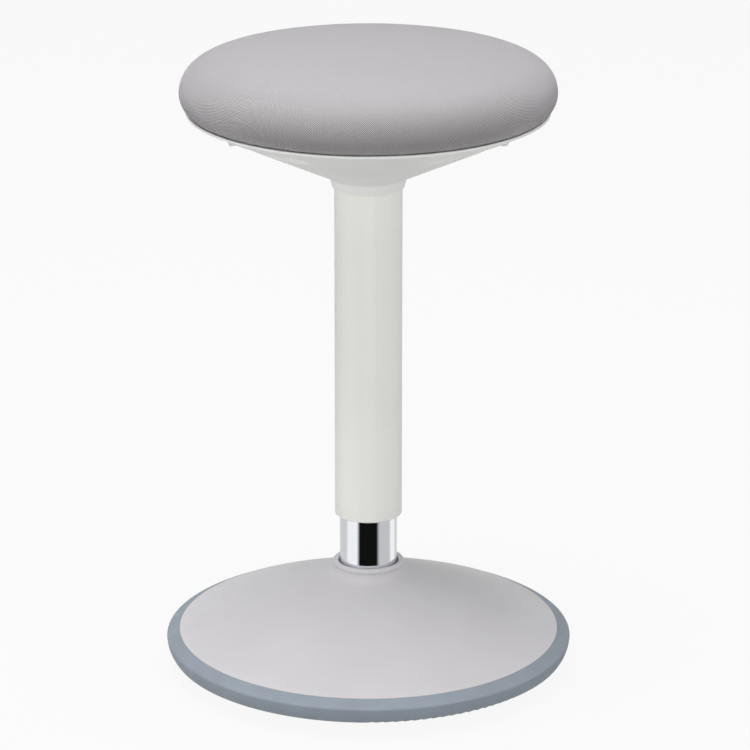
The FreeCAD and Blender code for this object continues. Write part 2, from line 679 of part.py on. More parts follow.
def piston_rod():
    """Polished rod, grooved for the clip below and necked for the piston above."""
    outline = Outline(0, ROD_BOTTOM)
    outline.line(NECK_RADIUS, ROD_BOTTOM)
    outline.line(ROD_RADIUS, ROD_BOTTOM + ROD_RADIUS - NECK_RADIUS)
    outline.line(ROD_RADIUS, CLIP_TOP - CLIP_THICKNESS - SLIDE_GAP)
    outline.line(NECK_RADIUS, CLIP_TOP - CLIP_THICKNESS - SLIDE_GAP)
    outline.line(NECK_RADIUS, CLIP_TOP + SLIDE_GAP)
    outline.line(ROD_RADIUS, CLIP_TOP + SLIDE_GAP)
    outline.line(ROD_RADIUS, PISTON_BOTTOM)
    outline.line(NECK_RADIUS, PISTON_BOTTOM)
    outline.line(NECK_RADIUS, PISTON_BOTTOM + PISTON_LENGTH + NECK_TAIL)
    outline.line(0, PISTON_BOTTOM + PISTON_LENGTH + NECK_TAIL)
    return outline.revolve()


def rod_clip():
    """Spring clip in the rod's groove, open on one side."""
    bottom = CLIP_TOP - CLIP_THICKNESS
    outer = ROD_RADIUS + CLIP_WIDTH
    half = 0.85 * NECK_RADIUS
    clip = ring(NECK_RADIUS + SLIDE_GAP, outer, bottom, CLIP_TOP)
    slot = Part.makeBox(outer, 2 * half, CLIP_THICKNESS, V(0, -half, bottom))
    return clip.cut(slot)


def piston():
    bore = NECK_RADIUS + SLIDE_GAP
    outer = CYLINDER_RADIUS - CYLINDER_WALL - SLIDE_GAP
    bottom = PISTON_BOTTOM + SLIDE_GAP
    top = bottom + PISTON_LENGTH
    outline = Outline(bore, bottom)
    outline.line(outer, bottom)
    for groove in (bottom + PISTON_GROOVE_INSET, top - PISTON_GROOVE_INSET - PISTON_GROOVE_WIDTH):
        outline.line(outer, groove)
        outline.line(outer - PISTON_GROOVE_DEPTH, groove)
        outline.line(outer - PISTON_GROOVE_DEPTH, groove + PISTON_GROOVE_WIDTH)
        outline.line(outer, groove + PISTON_GROOVE_WIDTH)
    outline.line(outer, top)
    outline.line(bore, top)
    return outline.revolve()


def gas_cylinder():
    """Pressure tube with a tapered head that the valve pin comes out of."""
    bore = CYLINDER_RADIUS - CYLINDER_WALL
    chamber_top = PISTON_BOTTOM + PISTON_LENGTH + NECK_TAIL + PISTON_MARGIN
    pin_bore = VALVE_PIN_RADIUS + SLIDE_GAP
    pin_bottom = VALVE_CAP_TOP - VALVE_PIN_LENGTH - VALVE_STROKE - NECK_TAIL
    outline = Outline(bore, CYLINDER_BOTTOM)
    outline.line(CYLINDER_RADIUS - CYLINDER_BEVEL, CYLINDER_BOTTOM)
    outline.line(CYLINDER_RADIUS, CYLINDER_BOTTOM + CYLINDER_BEVEL)
    outline.line(CYLINDER_RADIUS, CYLINDER_TOP - TAPER_LENGTH)
    outline.line(cylinder_outside(CYLINDER_TOP), CYLINDER_TOP)
    outline.line(pin_bore, CYLINDER_TOP)
    outline.line(pin_bore, pin_bottom)
    outline.line(0, pin_bottom)
    outline.line(0, chamber_top)
    outline.line(bore, chamber_top)
    return outline.revolve()


def cylinder_gland():
    """Seal and guide for the rod at the cylinder's lower end."""
    inner = ROD_RADIUS + SLIDE_GAP
    outer = CYLINDER_RADIUS - CYLINDER_WALL - SLIDE_GAP
    return ring(inner, outer, CYLINDER_BOTTOM, CYLINDER_BOTTOM + GLAND_LENGTH)


def sleeve_tube():
    inner = SLEEVE_RADIUS - SLEEVE_WALL
    inner_bevel = SLEEVE_WALL - SLEEVE_ROLL
    outline = Outline(inner, SLEEVE_BOTTOM + inner_bevel)
    outline.line(inner + inner_bevel, SLEEVE_BOTTOM)
    outline.arc(SLEEVE_RADIUS - 0.3 * SLEEVE_ROLL, SLEEVE_BOTTOM + 0.3 * SLEEVE_ROLL,
                SLEEVE_RADIUS, SLEEVE_BOTTOM + SLEEVE_ROLL)
    outline.line(SLEEVE_RADIUS, SLEEVE_TOP)
    outline.line(inner, SLEEVE_TOP)
    return outline.revolve()


def sleeve_bush():
    """Guide ring in the sleeve's lower end, running on the column tube."""
    bore = TUBE_RADIUS + SLIDE_GAP
    outer = SLEEVE_RADIUS - SLEEVE_WALL - SLIDE_GAP
    bottom = SLEEVE_BOTTOM + SLEEVE_BUSH_INSET
    top = bottom + SLEEVE_BUSH_LENGTH
    outline = Outline(bore + SLEEVE_BUSH_BEVEL, bottom)
    outline.line(outer, bottom)
    outline.line(outer, top)
    outline.line(bore + SLEEVE_BUSH_BEVEL, top)
    outline.line(bore, top - SLEEVE_BUSH_BEVEL)
    outline.line(bore, bottom + SLEEVE_BUSH_BEVEL)
    return outline.revolve()


def sleeve_plug():
    """Plastic plug that centres the sleeve on the gas cylinder and hangs it from the bracket."""
    bore = CYLINDER_RADIUS + SLIDE_GAP
    outer = SLEEVE_RADIUS - SLEEVE_WALL - SLIDE_GAP
    seat = SLEEVE_TOP + SEAT_GAP
    outline = Outline(bore, SLEEVE_TOP - PLUG_LENGTH)
    outline.line(outer - PLUG_BEVEL, SLEEVE_TOP - PLUG_LENGTH)
    outline.line(outer, SLEEVE_TOP - PLUG_LENGTH + PLUG_BEVEL)
    outline.line(outer, seat)
    outline.line(SLEEVE_RADIUS, seat)
    outline.line(SLEEVE_RADIUS, TAPER_SOCKET_BOTTOM - SEAT_GAP)
    outline.line(bore, TAPER_SOCKET_BOTTOM - SEAT_GAP)
    plug = outline.revolve()
    start = V((bore + outer - PLUG_CATCH_LENGTH) / 2, -PLUG_CATCH_WIDTH / 2, SLEEVE_TOP - PLUG_LENGTH)
    catch = Part.makeBox(PLUG_CATCH_LENGTH, PLUG_CATCH_WIDTH, 2 * PLUG_LENGTH, start)
    return plug.cut(group([turned(catch, angle) for angle in (45, 135, 225, 315)]))


def taper_socket():
    """Steel hub welded through the bracket, with a taper bore for the gas cylinder."""
    top = BRACKET_BOTTOM + BRACKET_SHEET + TAPER_SOCKET_RISE
    outer = CYLINDER_RADIUS + TAPER_SOCKET_WALL
    outline = Outline(cylinder_outside(TAPER_SOCKET_BOTTOM) + SLIDE_GAP, TAPER_SOCKET_BOTTOM)
    outline.line(outer, TAPER_SOCKET_BOTTOM)
    outline.line(outer, top)
    outline.line(cylinder_outside(top) + SLIDE_GAP, top)
    return outline.revolve()


def seat_bracket():
    """Pressed steel tray: a floor, two cheeks with pivot holes and a flange along each."""
    top = BRACKET_TOP
    wall = BRACKET_HALF_WIDTH
    inside = wall - BRACKET_SHEET
    corners = [
        V(-BRACKET_HALF_FLOOR, 0, BRACKET_BOTTOM),
        V(BRACKET_HALF_FLOOR, 0, BRACKET_BOTTOM),
        V(BRACKET_HALF_LENGTH, 0, BRACKET_KNEE),
        V(BRACKET_HALF_LENGTH, 0, top),
        V(-BRACKET_HALF_LENGTH, 0, top),
        V(-BRACKET_HALF_LENGTH, 0, BRACKET_KNEE),
    ]
    side = Part.Face(Part.makePolygon(corners + corners[:1]))
    block = side.extrude(V(0, 2 * wall, 0))
    block.translate(V(0, -wall, 0))
    length = 2 * BRACKET_HALF_LENGTH
    floor = BRACKET_BOTTOM + BRACKET_SHEET
    hollow = Part.makeBox(length, 2 * inside, top - floor, V(-length / 2, -inside, floor))
    tray = block.cut(hollow)
    flange_width = 2 * (wall + BRACKET_FLANGE)
    flange = Part.makeBox(2 * BRACKET_HALF_LENGTH, flange_width, BRACKET_SHEET,
                          V(-BRACKET_HALF_LENGTH, -flange_width / 2, top - BRACKET_SHEET))
    corner_edges = [edge for edge in flange.Edges if abs(edge.tangentAt(edge.FirstParameter).z) > 0.9]
    flange = flange.makeFillet(BRACKET_CORNER, corner_edges)
    tray = tray.fuse(flange.cut(hollow)).removeSplitter()
    cuts = [disc(BOLT_SHANK + SEAT_GAP, floor, top, x, y) for x, y in bracket_bolt_places()]
    cuts.append(disc(CYLINDER_RADIUS + TAPER_SOCKET_WALL + SLIDE_GAP, BRACKET_BOTTOM, floor))
    for x in (-PIVOT_X, PIVOT_X):
        hole = Part.makeCylinder(PIVOT_PIN_RADIUS + SLIDE_GAP, 4 * wall, V(x, -2 * wall, PIVOT_HEIGHT), V(0, 1, 0))
        cuts.append(hole)
    return tray.cut(group(cuts))


def bracket_bolt_places():
    return [(sx * BOLT_X, sy * BOLT_Y) for sx in (-1, 1) for sy in (-1, 1)]


def bracket_bolts():
    seat = BRACKET_TOP - BRACKET_SHEET - SLIDE_GAP
    return group([screw(BOLT, seat, BOARD_BOTTOM + BOLT_REACH, x, y) for x, y in bracket_bolt_places()])


def seat_board():
    edge = BOARD_ROUND
    outline = Outline(0, BOARD_BOTTOM)
    outline.line(BOARD_RADIUS - edge, BOARD_BOTTOM)
    outline.arc(BOARD_RADIUS - 0.3 * edge, BOARD_BOTTOM + 0.3 * edge, BOARD_RADIUS, BOARD_BOTTOM + edge)
    outline.line(BOARD_RADIUS, BOARD_TOP - edge)
    outline.arc(BOARD_RADIUS - 0.3 * edge, BOARD_TOP - 0.3 * edge, BOARD_RADIUS - edge, BOARD_TOP)
    outline.line(0, BOARD_TOP)
    cuts = []
    for x, y in bracket_bolt_places():
        cuts.append(disc(NUT_BARREL + SLIDE_GAP, BOARD_BOTTOM, BOARD_TOP, x, y))
        cuts.append(disc(NUT_FLANGE + SLIDE_GAP, BOARD_TOP - NUT_FLANGE_THICKNESS, BOARD_TOP, x, y))
    for x, y in shell_screw_places():
        pilot_top = BOARD_BOTTOM + SHELL_SCREW_GRIP + HEAD_GAP
        cuts.append(disc(SCREW_SHANK + SLIDE_GAP, BOARD_BOTTOM, pilot_top, x, y))
    return outline.revolve().cut(group(cuts))


def tee_nuts():
    nuts = []
    for x, y in bracket_bolt_places():
        nut = disc(NUT_FLANGE, BOARD_TOP - NUT_FLANGE_THICKNESS + SLIDE_GAP, BOARD_TOP, x, y)
        nut = nut.fuse(disc(NUT_BARREL, BOARD_BOTTOM + 2 * NUT_FLANGE_THICKNESS, BOARD_TOP, x, y))
        nuts.append(nut.removeSplitter().cut(disc(BOLT_SHANK + SLIDE_GAP, BOARD_BOTTOM, BOARD_TOP, x, y)))
    return group(nuts)


# The cushion's side view: a shallow crown arc, a tight shoulder, then the side drawn in under the seat
CROWN_ARC = (SEAT_RADIUS ** 2 + SEAT_CROWN ** 2 - 2 * SEAT_RADIUS * CROWN_SHOULDER) / (
    2 * (SEAT_CROWN - CROWN_SHOULDER))
CROWN_ANGLE = math.degrees(math.asin((SEAT_RADIUS - CROWN_SHOULDER) / (CROWN_ARC - CROWN_SHOULDER)))


def on_circle(centre_r, centre_z, radius, angle):
    """A point at the given angle above the horizontal."""
    turn = math.radians(angle)
    return centre_r + radius * math.cos(turn), centre_z + radius * math.sin(turn)


def cushion_outline(inset):
    """The cushion's outline from the top centre to the flat underside, moved inward by inset."""
    shoulder = SEAT_RADIUS - CROWN_SHOULDER
    side = SEAT_RADIUS - SIDE_ARC
    tuck_r, tuck_z = on_circle(side, WIDEST_HEIGHT, SIDE_ARC - TUCK_ARC, -SIDE_ANGLE)
    top_angle = 90 - CROWN_ANGLE
    outline = Outline(0, SEAT_TOP - inset)
    crown_mid = on_circle(0, SEAT_TOP - CROWN_ARC, CROWN_ARC - inset, 90 - CROWN_ANGLE / 2)
    crown_end = on_circle(0, SEAT_TOP - CROWN_ARC, CROWN_ARC - inset, top_angle)
    outline.arc(*crown_mid, *crown_end)
    shoulder_mid = on_circle(shoulder, WIDEST_HEIGHT, CROWN_SHOULDER - inset, top_angle / 2)
    outline.arc(*shoulder_mid, SEAT_RADIUS - inset, WIDEST_HEIGHT)
    side_mid = on_circle(side, WIDEST_HEIGHT, SIDE_ARC - inset, -SIDE_ANGLE / 2)
    side_end = on_circle(side, WIDEST_HEIGHT, SIDE_ARC - inset, -SIDE_ANGLE)
    outline.arc(*side_mid, *side_end)
    tuck_mid = on_circle(tuck_r, tuck_z, TUCK_ARC - inset, -45 - SIDE_ANGLE / 2)
    outline.arc(*tuck_mid, tuck_r, CLOTH_UNDERSIDE + inset)
    return outline


def foam_pad():
    """Foam crown over the board and round its edge."""
    outline = cushion_outline(COVER_CLOTH + SEAT_GAP)
    outline.line(BOARD_RADIUS + SEAT_GAP, outline.at.z)
    outline.line(BOARD_RADIUS + SEAT_GAP, BOARD_TOP + SEAT_GAP)
    outline.line(0, BOARD_TOP + SEAT_GAP)
    return outline.revolve()


def seat_cover():
    """Stretched cloth cover, turned under the edge of the board."""
    hem = BOARD_RADIUS - CLOTH_HEM
    hem_top = BOARD_BOTTOM - SLIDE_GAP
    outer = cushion_outline(0)
    outer.line(hem, CLOTH_UNDERSIDE)
    outer.line(hem, hem_top)
    outer.line(0, hem_top)
    inner = cushion_outline(COVER_CLOTH)
    inner.line(BOARD_RADIUS + SEAT_GAP, BOARD_BOTTOM)
    inner.line(BOARD_RADIUS + SEAT_GAP, hem_top)
    inner.line(0, hem_top)
    return outer.revolve().cut(inner.revolve())


def staples():
    """Staples that hold the cloth to the underside of the board."""
    start = V(BOARD_RADIUS - CLOTH_HEM / 2, -STAPLE_LENGTH / 2, CLOTH_UNDERSIDE - STAPLE_WIRE - SLIDE_GAP)
    staple = Part.makeBox(STAPLE_WIRE, STAPLE_LENGTH, STAPLE_WIRE, start)
    return group([turned(staple, 360.0 / STAPLE_COUNT * (i + 0.5)) for i in range(STAPLE_COUNT)])


def shell_screw_places():
    angle = math.radians(SHELL_SCREW_ANGLE)
    x = SHELL_SCREW_RADIUS * math.cos(angle)
    y = SHELL_SCREW_RADIUS * math.sin(angle)
    return [(sx * x, sy * y) for sx in (-1, 1) for sy in (-1, 1)]


def window_prism(margin, bottom, top):
    """The right-hand window as an upright block with round corners, grown by the margin."""
    outline = Outline(WINDOW_INNER - margin, bottom)
    outline.line(WINDOW_OUTER + margin, bottom)
    outline.line(WINDOW_OUTER + margin, top)
    outline.line(WINDOW_INNER - margin, top)
    extra = math.degrees(margin / WINDOW_INNER)
    block = outline.sector(0, WINDOW_HALF_ANGLE + extra)
    upright = [edge for edge in block.Edges if abs(edge.tangentAt(edge.FirstParameter).z) > 0.9]
    return block.makeFillet(WINDOW_CORNER + margin, upright)


def under_shell():
    """Moulded cone under the seat, open at the collar for the sleeve and at two side windows."""
    rim_inner = SHELL_RADIUS - SHELL_RIM_WIDTH
    bevel = COLLAR_LIP + COLLAR_DRAFT / 2
    foot = COLLAR_BORE + COLLAR_LIP
    outline = Outline(SHELL_RADIUS, SHELL_RIM_TOP - SHELL_RIM_HEIGHT)
    outline.line(COLLAR_RADIUS, COLLAR_TOP)
    outline.line(foot, COLLAR_BOTTOM + COLLAR_LIP / 2)
    outline.line(foot - COLLAR_LIP / 2, COLLAR_BOTTOM)
    outline.line(COLLAR_BORE, COLLAR_BOTTOM)
    outline.line(COLLAR_BORE, cone_inside(COLLAR_BORE + bevel) - bevel)
    outline.line(COLLAR_BORE + bevel, cone_inside(COLLAR_BORE + bevel))
    outline.line(rim_inner, cone_inside(rim_inner))
    outline.line(rim_inner, SHELL_RIM_TOP)
    outline.line(SHELL_RADIUS - SHELL_RIM_ROUND, SHELL_RIM_TOP)
    outline.arc(SHELL_RADIUS - 0.3 * SHELL_RIM_ROUND, SHELL_RIM_TOP - 0.3 * SHELL_RIM_ROUND,
                SHELL_RADIUS, SHELL_RIM_TOP - SHELL_RIM_ROUND)
    shell = outline.revolve()
    corner = [edge for edge in shell.Edges
              if abs(edge.BoundBox.XLength - 2 * COLLAR_RADIUS) < SLIDE_GAP]
    shell = shell.makeFillet(COLLAR_FILLET, corner)

    # bosses for the shell's screws, and ribs across the front and back bridges
    overlap = SHELL_WALL / 3
    inside = Outline(0, cone_inside(0) - overlap)
    inside.line(SHELL_RADIUS, cone_inside(SHELL_RADIUS) - overlap)
    inside.line(SHELL_RADIUS, BOARD_TOP)
    inside.line(0, BOARD_TOP)
    space = inside.revolve()
    bosses = [disc(BOSS_RADIUS, COLLAR_BOTTOM, BOARD_BOTTOM - SEAT_GAP, x, y).common(space)
              for x, y in shell_screw_places()]
    rib_length = SHELL_RADIUS - SHELL_RIB_MARGIN - SHELL_RIB_START
    rib_height = SHELL_RIM_TOP - SHELL_RIB_TOP_MARGIN - COLLAR_BOTTOM
    start = V(SHELL_RIB_START, -SHELL_RIB_THICKNESS / 2, COLLAR_BOTTOM)
    rib = Part.makeBox(rib_length, SHELL_RIB_THICKNESS, rib_height, start).common(space)
    angles = [middle + side * SHELL_RIB_SPREAD for middle in (90, 270) for side in (-1, 0, 1)]
    shell = fused([shell] + bosses + [turned(rib, angle) for angle in angles])

    # each window has a raised lip inside
    lip_space = Outline(WINDOW_INNER / 2, cone_inside(WINDOW_INNER / 2) - overlap)
    lip_space.line(SHELL_RADIUS, cone_inside(SHELL_RADIUS) - overlap)
    lip_space.line(SHELL_RADIUS, cone_inside(SHELL_RADIUS) + WINDOW_LIP)
    lip_space.line(WINDOW_INNER / 2, cone_inside(WINDOW_INNER / 2) + WINDOW_LIP)
    lip = window_prism(WINDOW_LIP_WALL, COLLAR_BOTTOM, BOARD_TOP).common(lip_space.revolve())
    window = window_prism(0, COLLAR_BOTTOM, BOARD_TOP)
    shell = fused([shell, lip, turned(lip, 180)])
    cuts = [window, turned(window, 180)]
    for x, y in shell_screw_places():
        cuts.append(disc(SCREW_SHANK + SEAT_GAP, COLLAR_BOTTOM, BOARD_BOTTOM, x, y))
        cuts.append(disc(SCREW_HEAD + HEAD_GAP, COLLAR_BOTTOM, shell_screw_seat(), x, y))
    return shell.cut(group(cuts))


def shell_screw_seat():
    """Depth of the counterbores: the heads sit well above the cone's outer face."""
    return cone_inside(SHELL_SCREW_RADIUS) + SHELL_SCREW_SINK


def shell_screws():
    seat = shell_screw_seat() - SLIDE_GAP
    return group([screw(SCREW, seat, BOARD_BOTTOM + SHELL_SCREW_GRIP, x, y) for x, y in shell_screw_places()])


def pivot_pins():
    half = BRACKET_HALF_WIDTH + PIVOT_PIN_OVERHANG
    pins = []
    for x in (-PIVOT_X, PIVOT_X):
        pin = Part.makeCylinder(PIVOT_PIN_RADIUS, 2 * half, V(x, -half, PIVOT_HEIGHT), V(0, 1, 0))
        pins.append(pin)
    return group(pins)


def pivot_clips():
    """Push-on rings that keep each pivot pin in the bracket."""
    clips = []
    for x in (-PIVOT_X, PIVOT_X):
        for side in (-1, 1):
            start = V(x, side * (BRACKET_HALF_WIDTH + SEAT_GAP), PIVOT_HEIGHT)
            outer = PIVOT_PIN_RADIUS + PIVOT_CLIP_WIDTH
            body = Part.makeCylinder(outer, PIVOT_CLIP_THICKNESS, start, V(0, side, 0))
            hole = Part.makeCylinder(PIVOT_PIN_RADIUS + SLIDE_GAP, PIVOT_CLIP_THICKNESS, start, V(0, side, 0))
            clips.append(body.cut(hole))
    return group(clips)


def right_paddle():
    """Finger blade that hangs in the window, with an arm to its pivot barrel and a nose over the valve."""
    inner, outer, skin = PADDLE_INNER, PADDLE_OUTER, PADDLE_SKIN
    arm_low = cone_inside(WINDOW_INNER) + WINDOW_LIP + ARM_CLEARANCE
    arm_top = arm_low + ARM_THICKNESS
    outline = Outline(inner, PADDLE_BOTTOM + PADDLE_ROUND)
    outline.arc(inner + 0.3 * PADDLE_ROUND, PADDLE_BOTTOM + 0.3 * PADDLE_ROUND, inner + PADDLE_ROUND, PADDLE_BOTTOM)
    outline.line(outer - PADDLE_ROUND, PADDLE_BOTTOM)
    outline.arc(outer - 0.3 * PADDLE_ROUND, PADDLE_BOTTOM + 0.3 * PADDLE_ROUND, outer, PADDLE_BOTTOM + PADDLE_ROUND)
    outline.line(outer, PADDLE_FRONT_TOP)
    outline.line(outer - skin, PADDLE_FRONT_TOP)
    outline.line(outer - skin, PADDLE_BOTTOM + skin)
    outline.line(inner + skin, PADDLE_BOTTOM + skin)
    outline.line(inner + skin, arm_top)
    outline.line(inner, arm_top)
    blade = outline.sector(0, PADDLE_HALF_ANGLE)

    # ribs that close the blade's ends and stiffen it between them
    rib_face = Outline(inner + skin / 2, PADDLE_BOTTOM + skin / 2)
    rib_face.line(outer - skin / 2, PADDLE_BOTTOM + skin / 2)
    rib_face.line(outer - skin / 2, PADDLE_FRONT_TOP)
    rib_face.line(inner + skin / 2, arm_top)
    first = PADDLE_RIB_HALF_ANGLE - PADDLE_HALF_ANGLE
    step = -2 * first / (PADDLE_RIB_COUNT - 1)
    ribs = [rib_face.sector(first + step * i, PADDLE_RIB_HALF_ANGLE) for i in range(PADDLE_RIB_COUNT)]

    # the arm runs from the blade through the barrel to the nose above the valve cap
    nose_bottom = VALVE_CAP_TOP + CONTACT_GAP
    corners = [
        V(NOSE_X, 0, nose_bottom),
        V(NOSE_X + NOSE_LENGTH, 0, nose_bottom),
        V(PIVOT_X - 2 * PIVOT_BARREL_RADIUS, 0, PIVOT_HEIGHT - ARM_WAIST),
        V(PIVOT_X + PIVOT_BARREL_RADIUS, 0, PIVOT_HEIGHT - ARM_WAIST),
        V(inner - ARM_THICKNESS, 0, arm_low),
        V(inner + skin / 2, 0, arm_low),
        V(inner + skin / 2, 0, arm_top),
        V(inner - ARM_THICKNESS, 0, arm_top),
        V(PIVOT_X, 0, PIVOT_HEIGHT + ARM_WAIST),
        V(NOSE_X, 0, nose_bottom + ARM_THICKNESS),
    ]
    side = Part.Face(Part.makePolygon(corners + corners[:1]))
    arm = side.extrude(V(0, 2 * ARM_HALF_WIDTH, 0))
    arm.translate(V(0, -ARM_HALF_WIDTH, 0))
    barrel_half = BRACKET_HALF_WIDTH - BRACKET_SHEET - PIVOT_SIDE_GAP
    start = V(PIVOT_X, -barrel_half, PIVOT_HEIGHT)
    barrel = Part.makeCylinder(PIVOT_BARREL_RADIUS, 2 * barrel_half, start, V(0, 1, 0))
    bore = Part.makeCylinder(PIVOT_PIN_RADIUS + SLIDE_GAP, 2 * barrel_half, start, V(0, 1, 0))
    return fused([blade, arm, barrel] + ribs).cut(bore)


def left_paddle():
    return turned(right_paddle(), 180)


def valve_pin():
    top = VALVE_CAP_TOP - VALVE_CAP_CROWN
    pin = disc(VALVE_PIN_RADIUS, VALVE_CAP_TOP - VALVE_PIN_LENGTH, top)
    return pin.makeChamfer(VALVE_PIN_RADIUS / 6, [pin.Edges[2]])


def valve_cap():
    """Hard cap on the valve pin, which the noses of both paddles press on."""
    bottom = VALVE_CAP_TOP - VALVE_CAP_THICKNESS
    cap = disc(VALVE_CAP_RADIUS, bottom, VALVE_CAP_TOP)
    cap = cap.makeFillet(VALVE_CAP_THICKNESS / 5, [cap.Edges[0]])
    return cap.cut(disc(VALVE_PIN_RADIUS + SLIDE_GAP, bottom, VALVE_CAP_TOP - VALVE_CAP_CROWN + SLIDE_GAP))


NODES = {
    "base_cover": base_cover,
    "bumper_ring": bumper_ring,
    "rocker_plate": rocker_plate,
    "rocker_pad": rocker_pad,
    "base_weight": base_weight,
    "base_screws": base_screws,
    "weight_screws": weight_screws,
    "column_socket": column_socket,
    "socket_bolts": socket_bolts,
    "column_tube": column_tube,
    "guide_bush": guide_bush,
    "tube_end_plate": tube_end_plate,
    "bearing_lower_washer": bearing_lower_washer,
    "bearing_cage": bearing_cage,
    "bearing_upper_washer": bearing_upper_washer,
    "bump_stop": bump_stop,
    "piston_rod": piston_rod,
    "rod_clip": rod_clip,
    "piston": piston,
    "gas_cylinder": gas_cylinder,
    "cylinder_gland": cylinder_gland,
    "sleeve_tube": sleeve_tube,
    "sleeve_bush": sleeve_bush,
    "sleeve_plug": sleeve_plug,
    "taper_socket": taper_socket,
    "seat_bracket": seat_bracket,
    "bracket_bolts": bracket_bolts,
    "seat_board": seat_board,
    "tee_nuts": tee_nuts,
    "foam_pad": foam_pad,
    "seat_cover": seat_cover,
    "staples": staples,
    "under_shell": under_shell,
    "shell_screws": shell_screws,
    "pivot_pins": pivot_pins,
    "pivot_clips": pivot_clips,
    "left_paddle": left_paddle,
    "right_paddle": right_paddle,
    "valve_pin": valve_pin,
    "valve_cap": valve_cap,
}


def main():
    os.makedirs("parts", exist_ok=True)
    for name, make in NODES.items():
        shape = make()
        shape.exportStep(os.path.join("parts", name + ".step"))
        print(f"{name}: {len(shape.Solids)} solids, {shape.Volume / 1000:.1f} cm3")


main()
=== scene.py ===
import bpy
import bmesh
import math
import numpy
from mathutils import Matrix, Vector, noise


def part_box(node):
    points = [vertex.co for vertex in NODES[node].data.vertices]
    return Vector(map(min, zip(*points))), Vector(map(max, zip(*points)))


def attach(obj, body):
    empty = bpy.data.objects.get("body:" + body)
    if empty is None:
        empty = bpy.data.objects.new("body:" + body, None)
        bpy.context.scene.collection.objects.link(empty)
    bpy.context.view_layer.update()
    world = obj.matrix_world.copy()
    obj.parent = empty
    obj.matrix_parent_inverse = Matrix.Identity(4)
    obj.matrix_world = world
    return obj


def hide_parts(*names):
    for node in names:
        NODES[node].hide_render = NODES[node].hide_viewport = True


# Wobble stool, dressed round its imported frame. Metres, +Z up, -Y is the front.

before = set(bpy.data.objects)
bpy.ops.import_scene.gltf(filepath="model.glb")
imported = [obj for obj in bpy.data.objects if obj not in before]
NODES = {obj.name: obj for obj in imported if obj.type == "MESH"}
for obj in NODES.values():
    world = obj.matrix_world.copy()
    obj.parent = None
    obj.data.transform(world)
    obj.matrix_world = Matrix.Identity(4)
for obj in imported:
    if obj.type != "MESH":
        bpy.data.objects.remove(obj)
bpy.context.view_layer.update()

# Camera that matches the photograph's view
CAMERA_DISTANCE = 3.4
CAMERA_HEIGHT = 1.4165
CAMERA_TILT = math.radians(71.33)
CAMERA_LENS = 198.0
CAMERA_SHIFT = 0.0088

# Studio levels
BACKDROP = 0.955
WORLD_LOW = 0.42
WORLD_HIGH = 0.5

LIGHT_TARGET = (0, 0, 0.3)
FLOOR_HALF = 12.0
CARD_STEPS = 40

# Seat cushion: arcs of its side view, its weave, how the cloth is stretched and where the side's painted
# shade begins
CROWN_RISE = 0.0425
SHOULDER_ARC = 0.025
SIDE_ARC = 0.0176
SIDE_ANGLE = 45.0
TUCK_ARC = 0.00497
CROWN_STEPS = 36
HEM_WIDTH = 0.024
THREAD_PITCH = 0.0017
# How far before the crown's end the side's painted shade begins
SIDE_SHADE_LEAD = 0.02
CLOTH_CLEAR = 0.0002
CLOTH_SHRINK = 0.0025
CLOTH_SEGMENTS = 128
BOARD_SEGMENTS = 192
CLOTH_VOXEL = 0.005
CLOTH_PRESSURE = 4.0
CLOTH_FRAMES = 20
CLOTH_CAP = 0.006
SEAT_GIVE = 0.0007
PUCKER_DEPTH = 0.00035
PUCKER_COUNT = 61


def srgb(red, green, blue):
    """A colour read off as 0 to 255, as the linear values that shaders take."""
    def linear(value):
        value = value / 255
        if value <= 0.04045:
            return value / 12.92
        return ((value + 0.055) / 1.055) ** 2.4
    return (linear(red), linear(green), linear(blue), 1.0)


def scaled(colour, factor):
    return tuple(min(1.0, part * factor) for part in colour[:3]) + (1.0,)


